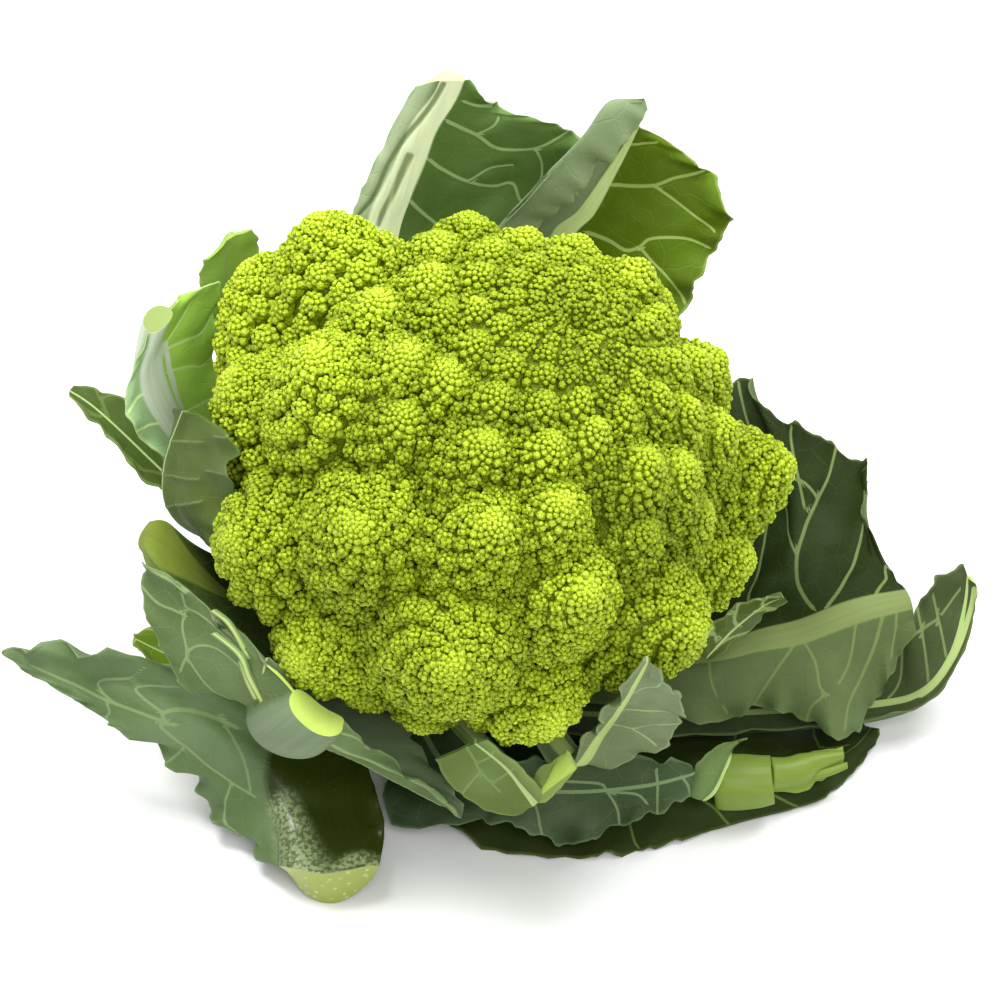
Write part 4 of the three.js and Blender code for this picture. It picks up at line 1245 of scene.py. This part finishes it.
make_torn(
    "leaf_bottom_right", "leaf_inner", "broken_stalk", step=0.6, seed=21, cut=True, crown=(1, 1),
    rib_width=[13, 14.6, 14.6, 13.6, 12.6], rib_depth=[5, 6.4, 6.6, 6.2, 5.6], paint=[20, 20],
    rows=[
        [(54.5, -28, 10), (54.5, -33.5, 10.4), (54.5, -39, 10)],
        [(56, -27, 10), (56, -33.5, 10.4), (56, -40, 10)],
        [(61, -26.5, 10), (61, -33.5, 10.4), (61, -40.4, 10)],
        [(66, -27, 10), (66, -33.3, 10.4), (66, -39.5, 10)],
        [(69.5, -27, 10.4), (69.5, -33, 10.8), (69.5, -39, 10.4)],
    ],
    **TORN_LOOK,
)
make_torn(
    "leaf_bottom_right", "leaf_inner", "torn_rib", seed=22, cut=True, frill=0.3, teeth=0.9, crumple=0.4,
    rib_width=[9.5, 8, 8, 5, 2.5], rib_depth=[3.4, 3, 2.6, 1.5, 0.8], paint=[20, 20],
    rows=[
        [(69, -27, 10.5), (69, -31, 11.5), (69, -35.5, 9)],
        [(73, -26.5, 10.5), (73.5, -30, 11), (73, -34.5, 8)],
        [(77, -25, 11), (78, -28.5, 11), (78, -33, 6.5)],
        [(80.5, -24, 12), (81.5, -27, 11.5), (82, -30, 8)],
        [(88, -23, 12.5), (88, -25, 11.5), (88, -27, 10)],
    ],
    **TORN_LOOK,
)
make_torn(
    "leaf_bottom_right", "leaf_inner", "torn_strand", seed=23, teeth=0.3, rib_width=[3, 2.6, 1.6],
    rib_depth=[1.2, 1, 0.7], paint=[9, 9],
    rows=[
        [(78, -28, 8.8), (78, -29.5, 8.8), (78, -31, 8.2)],
        [(84, -27.5, 9.4), (84, -28.7, 9.4), (84, -30, 9)],
        [(89, -26, 10), (89, -27, 10), (89, -27.8, 9.6)],
    ],
    **TORN_LOOK,
)
make_torn(
    "leaf_bottom_right", "leaf_inner", "peeled_skin", step=0.6, rib=2, seed=24, frill=0.3, teeth=0.3,
    crumple=0.2, crown=(0.5, 0.5), rib_width=[2, 2.4, 2.4, 1.6], rib_depth=[0.8, 0.8, 0.8, 0.6],
    paint=[1.8, 2, 2, 1.4],
    rows=[
        [(63, -26, 18.5), (60.5, -28, 19.5), (58, -30, 18.5)],
        [(54.5, -31, 20.5), (55.5, -33, 20), (57, -36, 17.5)],
        [(49.6, -36, 18.8), (51.5, -38, 17.5), (54.4, -40.5, 14)],
        [(48.2, -39.5, 11.8), (49.5, -40.5, 12), (52, -41.5, 12)],
    ],
    upper=(70, 90, 48), lower=(96, 118, 66), stalk=(168, 190, 118), bloom=0.1,
)

# %% [markdown]
# ## Leaves at the front
# A blue-green blade runs along the front. To its left lies a wide stalk, cut across, with a long lobe of
# blade. A pale cut stub with torn blades stands between that stalk and the head.

# %% Front leaves
make_leaf(
    "leaf_front_centre", "leaf_outer", wave=(0.6, 3), seed=6, frill=2.2, teeth=0.8, crumple=0.8,
    rib_width=[10, 9, 8, 7, 6, 5, 3], rib_depth=[3, 2.5, 2, 2, 1.5, 1.5, 1],
    paint=[1.5, 1.5, 1.2, 1, 1, 0.8, 0.6],
    drawn=[
        (0.55, [(46, 37), (55, 41), (57, 52), (61, 75), (63, 100)]),
        (0.55, [(71, 27), (72, 59), (73, 96)]), (0.5, [(35, 50), (40, 70), (43, 95)]),
        (0.45, [(83, 50), (86, 70), (88, 95)]), (0.45, [(57, 52), (65, 60), (69, 75)]),
    ],
    rows=[
        [(-15, -16, 18), (-20, -19, 15), (-27, -24, 12)],
        [(-6, -32, 22), (-11, -36, 15), (-27, -43, 5)],
        [(5, -37, 23), (4, -41, 16), (0, -46, 9)],
        [(20, -38, 24), (20, -42, 16), (17, -51, 6)],
        [(36, -37, 23), (36, -41, 17), (34, -46, 10)],
        [(46, -36, 21), (46, -39, 18), (47, -43, 14)],
        [(48.5, -36.5, 19.5), (49, -37.5, 18), (49, -39, 16.5)],
    ],
    upper=(58, 74, 46), lower=(98, 118, 84), stalk=(108, 130, 86), vein=(118, 138, 96), bloom=0.1,
    net=0.1,
)
make_leaf(
    "leaf_front", "leaf_outer", wave=(0.8, 3), seed=7, cut=True, frill=2.8, teeth=0.9, crumple=0.9,
    crown=(0.12, 0.12, 0.3, 0.4, 0.3), rib_width=[16, 20, 23, 25, 26, 27, 26],
    rib_depth=[6, 7, 7, 7, 7, 8, 9], paint=[16, 20, 23, 25, 26, 27, 26],
    # Painted reflections on the stalk near its cut end.
    gleams=[
        (6, [(100, 45), (93, 50), (84, 52), (70, 50)]), (3, [(99, 5), (95, 16), (97, 26)]),
    ],
    stripes=[(9, [(100, 0), (70, 0), (40, 0), (10, 0)])],
    drawn=[
        (0.8, [(30, 55), (32, 63), (40, 72), (44, 75), (42, 84), (39, 87), (35, 93)]),
        (0.7, [(44, 72), (47, 78), (55, 79), (62, 80), (68, 75), (74, 68)]),
        (0.6, [(27, 60), (38, 56), (56, 59), (70, 67)]), (0.5, [(43, 83), (33, 81), (25, 80), (16, 89)]),
        (0.5, [(68, 75), (73, 80), (83, 90), (90, 96)]), (0.5, [(55, 79), (60, 88), (62, 97)]),
        (0.45, [(42, 84), (47, 90), (50, 97)]), (0.45, [(40, 72), (30, 76), (18, 78)]),
    ],
    rows=[
        [(-34, -21, 22), (-42, -22, 20), (-48, -22, 24), (-56, -23, 31)],
        [(-34, -27, 23), (-45, -28, 20), (-68, -28, 32), (-98, -22, 46)],
        [(-34, -34, 20), (-48, -35, 17), (-80, -29, 33), (-125, -17, 40)],
        [(-32, -41, 18), (-48, -41, 15), (-72, -35, 25), (-101, -29, 30)],
        [(-30, -47, 16), (-47, -47, 12), (-64, -40, 17), (-80, -34, 15)],
        [(-29, -53, 14), (-45, -55, 10.5), (-58, -47, 12), (-73, -42, 7)],
        [(-30, -63, 11), (-43, -66.5, 9.4), (-54, -62, 9), (-59, -55, 6)],
    ],
    upper=(81, 106, 55), lower=(94, 117, 70), stalk=(44, 54, 5), vein=(122, 144, 92), bloom=0.18,
    net=0.12, gloss=0.16, moist=(148, 162, 68), shine=0.5,
)
make_leaf(
    "leaf_front_stub", "leaf_outer", wave=(0.6, 3), seed=8, cut=True, frill=1.6, teeth=0.6,
    crown=(0.12, 0.12, 0.2, 0.4, 0.55), rib_width=[12, 15, 18, 18, 15], rib_depth=[5, 6, 7, 7, 6],
    paint=[10, 13, 16, 17, 15],
    drawn=[
        (0.6, [(84, 98), (83, 95), (76, 84), (67, 82), (59, 82), (50, 91)]),
        (0.5, [(66, 100), (67, 90), (72, 82)]), (0.5, [(74, 83), (82, 84), (87, 82)]),
        (0.5, [(59, 82), (68, 76), (73, 73), (78, 69)]), (0.5, [(59, 82), (50, 75), (42, 70)]),
        (0.6, [(92, 40), (90, 15), (86, 0)]), (0.7, [(80, 35), (71, 16), (64, 4), (50, 2)]),
        (0.5, [(66, 40), (58, 20), (52, 8)]), (0.45, [(83, 95), (78, 97), (72, 99)]),
    ],
    rows=[
        [(-33, -18, 29), (-39, -18, 29.5), (-46, -14, 31)],
        [(-16, -40, 22), (-50, -33, 36), (-72, -36, 46)],
        [(-9, -47, 14), (-54, -44, 43), (-82, -36, 55)],
        [(-26, -50, 34), (-50, -53, 51), (-87, -25, 79)],
        [(-38, -54, 53), (-45, -54, 56), (-56, -47, 66)],
    ],
    upper=(116, 132, 98), lower=(93, 112, 68), stalk=(110, 126, 97), vein=(136, 158, 106), bloom=0.1,
    net=0.16, gloss=0.5, moist=(196, 218, 108),
)

# %% [markdown]
# ## Torn fibres
# Where the knife missed, strips of the stub tore along their fibres. They stand off the blade at one end, so
# they are narrow pieces of their own and not only lines in the finish.

# %% Torn fibres on the stub
FIBRE_LINES = {
    "fibre_low": [(-57.6, -48.5, 53.5), (-61.0, -46.5, 61.0), (-63.2, -45.5, 67.6), (-69.6, -41.5, 71.0)],
    "fibre_middle": [(-59.6, -47.2, 54.4), (-61.6, -45.6, 59.0), (-63.2, -44.6, 64.8)],
    "fibre_high": [(-61.0, -44.0, 65.0), (-65.6, -40.2, 72.6), (-69.6, -38.6, 75.8)],
}
FIBRE_SIDES, FIBRE_SEED = [(0.8, 0.32), (0, 0), (-0.8, -0.32)], 31
for number, (part, line) in enumerate(FIBRE_LINES.items()):
    make_torn(
        "leaf_front_stub", "leaf_outer", part, seed=FIBRE_SEED + number, rib_width=[1.6, 1.4, 0.8],
        rib_depth=[0.5, 0.5, 0.3], paint=[0.9, 0.9, 0.6],
        rows=[[(x + dx, y, z + dz) for dx, dz in FIBRE_SIDES] for x, y, z in line],
        upper=(112, 134, 84), lower=(120, 142, 92), stalk=(176, 198, 120), bloom=0.1, net=0.0,
    )
make_torn(
    "leaf_front_stub", "leaf_outer", "upright_scrap", step=0.6, rib=2, seed=34, frill=0.4, teeth=0.4,
    quilt=0.1, crumple=0.3, crown=(0.12, 0.12), rib_width=[1.6, 1.4, 0.8], rib_depth=[0.6, 0.5, 0.4],
    paint=[1.2, 1.2, 0.8],
    rows=[
        [(-50, -49, 52.5), (-54.5, -49, 52.5), (-58.5, -48.5, 52.5)],
        [(-50.6, -47.5, 57.5), (-54, -47.5, 59), (-58.2, -47, 59)],
        [(-52.4, -46.5, 63), (-54, -46.5, 64), (-57.4, -46, 65)],
        [(-55, -46, 66), (-55.6, -46, 66.6), (-56.8, -46, 66.8)],
    ],
    upper=(118, 138, 96), lower=(112, 132, 88), stalk=(170, 192, 116), vein=(150, 172, 112), bloom=0.2,
)

# %% [markdown]
# ## Leaves on the left
# On the left the leaves were trimmed short: rounded pale stubs, a curled blade that hugs the head, and two
# dark tongues behind them.

# %% Left leaves
make_leaf(
    "leaf_left_low", "leaf_inner", step=0.8, wave=(0.3, 2), seed=9, veins=(2, 2), rib_width=[8, 7, 5, 3],
    rib_depth=[3, 2.5, 1.5, 1], paint=[1.5, 1, 0.8, 0.5],
    rows=[
        [(-48, -16, 18), (-52, -11, 18), (-54, -4, 19)],
        [(-68, -18, 25), (-71, -12, 25), (-73, -4, 26)],
        [(-83, -17, 33), (-86, -11, 34), (-87, -3, 35)],
        [(-92, -14, 37), (-93, -10, 38), (-93, -6, 38)],
    ],
    upper=(96, 122, 28), lower=(106, 130, 50), bloom=0.02,
)
make_leaf(
    "leaf_left", "leaf_outer", wave=(0, 2), seed=10, teeth=0, frill=0.2, crumple=0,
    rib_width=[12, 14, 16, 15, 8], rib_depth=[4, 5, 5, 5, 3], paint=[0, 0, 8, 15, 8],
    rows=[
        [(-47, -8, 27), (-49, -1, 27), (-48, 6, 28)],
        [(-58, -23, 42), (-64, -8, 46), (-63, 3, 48)],
        [(-74, -24, 64), (-76, -15, 65), (-76, -6, 67)],
        [(-83, -22, 73), (-84, -14, 74), (-83, -7, 76)],
        [(-88, -17, 76), (-88, -13, 77), (-87, -9, 78)],
    ],
    upper=(64, 82, 30), lower=(110, 130, 58), stalk=(115, 130, 51), bloom=0.1,
)
make_leaf(
    "leaf_left_curl", "leaf_outer", wave=(0.4, 3), seed=11, frill=1.8, teeth=1.3, crumple=0.7,
    tones=(1, 0), rib_width=[8, 8, 7, 5, 3], rib_depth=[3, 3, 2, 1.5, 1], paint=[0.8, 0.8, 0.8, 0.6, 0.5],
    drawn=[
        (0.5, [(72, 57), (74, 40), (76, 26)]), (0.5, [(84, 64), (87, 45), (90, 27)]),
        (0.5, [(51, 63), (59, 42), (67, 21)]), (0.5, [(80, 23), (82, 3)]),
        (0.5, [(95, 18), (97, 8), (100, 0)]), (0.5, [(60, 60), (64, 80), (67, 100)]),
        (0.5, [(75, 60), (78, 80), (80, 100)]),
    ],
    rows=[
        [(-48, 9, 30), (-48, 13, 30), (-46, 17, 30)],
        [(-66, 1, 55), (-65, 11, 52), (-63, 18, 54)],
        [(-71, -17, 77), (-80, 1, 72), (-78, 14, 74)],
        [(-65, -16, 95), (-82, 3, 85), (-79, 17, 86)],
        [(-65, -11, 108), (-77, 4, 103), (-82, 15, 94)],
    ],
    upper=(60, 78, 36), lower=(80, 98, 46), vein=(110, 132, 78), bloom=0.12, net=0.12,
)
make_leaf(
    "leaf_left_back", "leaf_outer", wave=(0.5, 3), seed=12, cut=True, crown=(0.12, 0.12, 0.12, 0.2, 0.6),
    tones=(1, 0), rib_width=[11, 12, 12, 11, 9, 8], rib_depth=[4, 5, 5, 4.5, 4, 4],
    paint=[6, 6, 7, 8, 9, 8],
    drawn=[
        (0.7, [(76, 64), (72, 73), (67, 84), (67, 92), (68, 100)]),
        (0.6, [(67, 62), (61, 75), (56, 85), (54, 100)]), (0.5, [(80, 64), (83, 73), (88, 83)]),
        (0.6, [(64, 50), (71, 33), (70, 9)]), (0.5, [(50, 50), (56, 30), (58, 5)]),
        (0.5, [(50, 60), (46, 80), (44, 100)]),
    ],
    stripes=[(0.9, [(80, 62), (70, 63), (62, 64), (47, 62)])],
    rows=[
        [(-48, 17, 27), (-45, 23, 26), (-40, 28, 27)],
        [(-66, 20, 46), (-64, 29, 46), (-56, 39, 48)],
        [(-83, 22, 68), (-80, 31, 67), (-70, 46, 70)],
        [(-93, 24, 80), (-87, 32, 82), (-74, 50, 88)],
        [(-95, 28, 86), (-89, 34, 94), (-72, 53, 104)],
        [(-89, 34, 103), (-86, 37, 105), (-80, 43, 108)],
    ],
    upper=(154, 196, 78), lower=(141, 172, 121), stalk=(193, 206, 180), vein=(196, 220, 140), bloom=0.06,
    net=0.1, moist=(143, 162, 94),
)
make_leaf(
    "leaf_far_left", "leaf_inner", wave=(0.3, 2), seed=13, veins=(3, 3), rib_width=[8, 7, 6, 4, 2.5],
    rib_depth=[3, 2.5, 2, 1.5, 1], paint=[1, 1, 0.8, 0.6, 0.4],
    rows=[
        [(-54, 15, 13), (-53, 21, 12), (-49, 27, 13)],
        [(-75, 31, 30), (-74, 40, 29), (-68, 49, 30)],
        [(-95, 43, 48), (-95, 51, 48), (-90, 60, 50)],
        [(-107, 54, 56), (-107, 58, 57), (-104, 64, 58)],
        [(-114, 61, 59), (-114, 62.5, 59.5), (-113, 64, 60)],
    ],
    upper=(66, 85, 32), lower=(96, 116, 64), bloom=0.06, net=0.06, vein_share=0.25,
)
make_leaf(
    "leaf_back_scrap", "leaf_inner", wave=(0.3, 2), seed=14, veins=(2, 2), rib_width=[8, 8, 6, 4, 3],
    rib_depth=[3, 3, 2, 1.5, 1], paint=[1, 1, 0.8, 0.6, 0.4],
    rows=[
        [(-43, 29, 25), (-39, 31, 24), (-33, 31, 25)],
        [(-62, 49, 45), (-57, 54, 44), (-50, 58, 45)],
        [(-75, 58, 78), (-69, 62, 78), (-60, 67, 80)],
        [(-77, 60, 100), (-71, 63, 102), (-62, 66, 104)],
        [(-75, 59, 108), (-69, 62, 112), (-63, 63, 114)],
    ],
    upper=(158, 192, 86), lower=(150, 180, 90), vein=(160, 186, 100), bloom=0.03, net=0.08,
    vein_share=0.5,
)

# %% [markdown]
# ## Small leaves under the head
# Three small leaves grow close under the florets: a toothed curl on the right, and two at the front, one
# smooth and one that bends back with a pale rib.

# %% Small leaves
make_leaf(
    "small_leaf_right", "leaf_outer", step=0.8, wave=(0.4, 3), seed=15, veins=(3, 2), teeth=0.9,
    frill=0.6, rib_width=[4, 4, 3, 2], rib_depth=[1.2, 1.2, 1, 0.8], paint=[0.8, 0.8, 0.6, 0.4],
    rows=[
        [(49, -18, 41), (52, -15, 37), (53, -13, 34)],
        [(54, -11, 45), (59, -9, 41), (63, -7, 38)],
        [(64, -6, 49), (67, -4, 45), (69, -3, 42)],
        [(71, -4, 47), (72, -2, 46), (73, -1, 44)],
    ],
    upper=(70, 83, 32), lower=(98, 116, 70), bloom=0.15,
)
make_leaf(
    "small_leaf_front_left", "leaf_inner", step=0.8, wave=(0.2, 2), seed=16, teeth=0.2, frill=0.3,
    tones=(0, 1), rib_width=[5, 4.5, 4, 3.5, 3, 2.5], rib_depth=[2, 2, 1.6, 1.4, 1.2, 1],
    paint=[3, 3, 2, 1, 0.8, 0.6],
    drawn=[
        (0.5, [(100, 38), (91, 34), (83, 30), (65, 29)]), (0.45, [(90, 60), (88, 45), (88, 33)]),
        (0.45, [(76, 60), (74, 40), (73, 30)]), (0.45, [(83, 30), (79, 15), (75, 0)]),
    ],
    rows=[
        [(-21, -20, 29), (-19, -18, 29), (-16, -17, 29)],
        [(-8, -38, 28), (-5, -37, 28), (-2, -36, 28)],
        [(4, -55, 23), (8, -54, 25), (11, -52, 27)],
        [(-4, -57, 26), (5, -57, 34), (8, -56, 35)],
        [(-11, -58, 34), (1, -58, 42), (4, -58, 43)],
        [(-16, -57, 43), (-6, -57, 49), (-3, -57, 50)],
    ],
    upper=(92, 112, 55), lower=(116, 138, 76), vein=(126, 148, 90), bloom=0.12, net=0.08, vein_share=0.5,
)
make_leaf(
    "small_leaf_front_right", "leaf_outer", wave=(0.5, 3), seed=17, frill=1.4, teeth=0.7, crumple=0.5,
    rib_width=[6, 6, 7, 5, 3.5, 2.5], rib_depth=[2.5, 2.5, 3, 2, 1.5, 1], paint=[4, 4, 4, 2.4, 1.6, 1],
    drawn=[
        (0.5, [(84, 45), (87, 64), (94, 89)]), (0.55, [(68, 45), (66, 69), (62, 90)]),
        (0.45, [(76, 45), (77, 70), (78, 100)]), (0.4, [(66, 69), (71, 80), (72, 98)]),
    ],
    rows=[
        [(-9, -14, 29), (-7, -11, 29), (-5, -8, 29)],
        [(5, -30, 29), (8, -28, 29), (11, -25, 29)],
        [(14, -45, 27), (18, -43, 27), (24, -40, 25)],
        [(21, -44, 36), (25, -42, 37), (40, -40, 30)],
        [(26, -54, 58), (30, -53, 59), (45, -47, 51)],
        [(34, -61, 81), (35, -60.5, 80), (38, -59, 74.5)],
    ],
    upper=(104, 117, 82), lower=(100, 116, 78), stalk=(160, 180, 108), vein=(148, 168, 114), bloom=0.15,
    net=0.16,
)
make_torn(
    "small_leaf_front_left", "leaf_inner", "cut_petiole", seed=18, cut=True, frill=0.4, teeth=0.5,
    quilt=0.1, crumple=0.3, crown=(0.3, 0.6), rib_width=[1.6, 2.4, 4, 5], rib_depth=[0.6, 0.9, 1.5, 1.8],
    paint=[0.8, 1.6, 4, 6],
    rows=[
        [(7, -53, 28.5), (8.6, -54.6, 26.5), (9.6, -55.4, 25.8)],
        [(8.6, -53, 33.6), (12, -55, 32), (13.6, -56, 29.5)],
        [(13, -52.5, 38), (15, -54, 36.2), (17, -55, 34.4)],
        [(16.5, -51.6, 40.4), (17.6, -52.8, 38.8), (19, -54, 36.8)],
    ],
    upper=(120, 144, 70), lower=(96, 118, 52), stalk=(160, 186, 84), moist=(190, 206, 130), bloom=0.05,
    net=0.1,
)
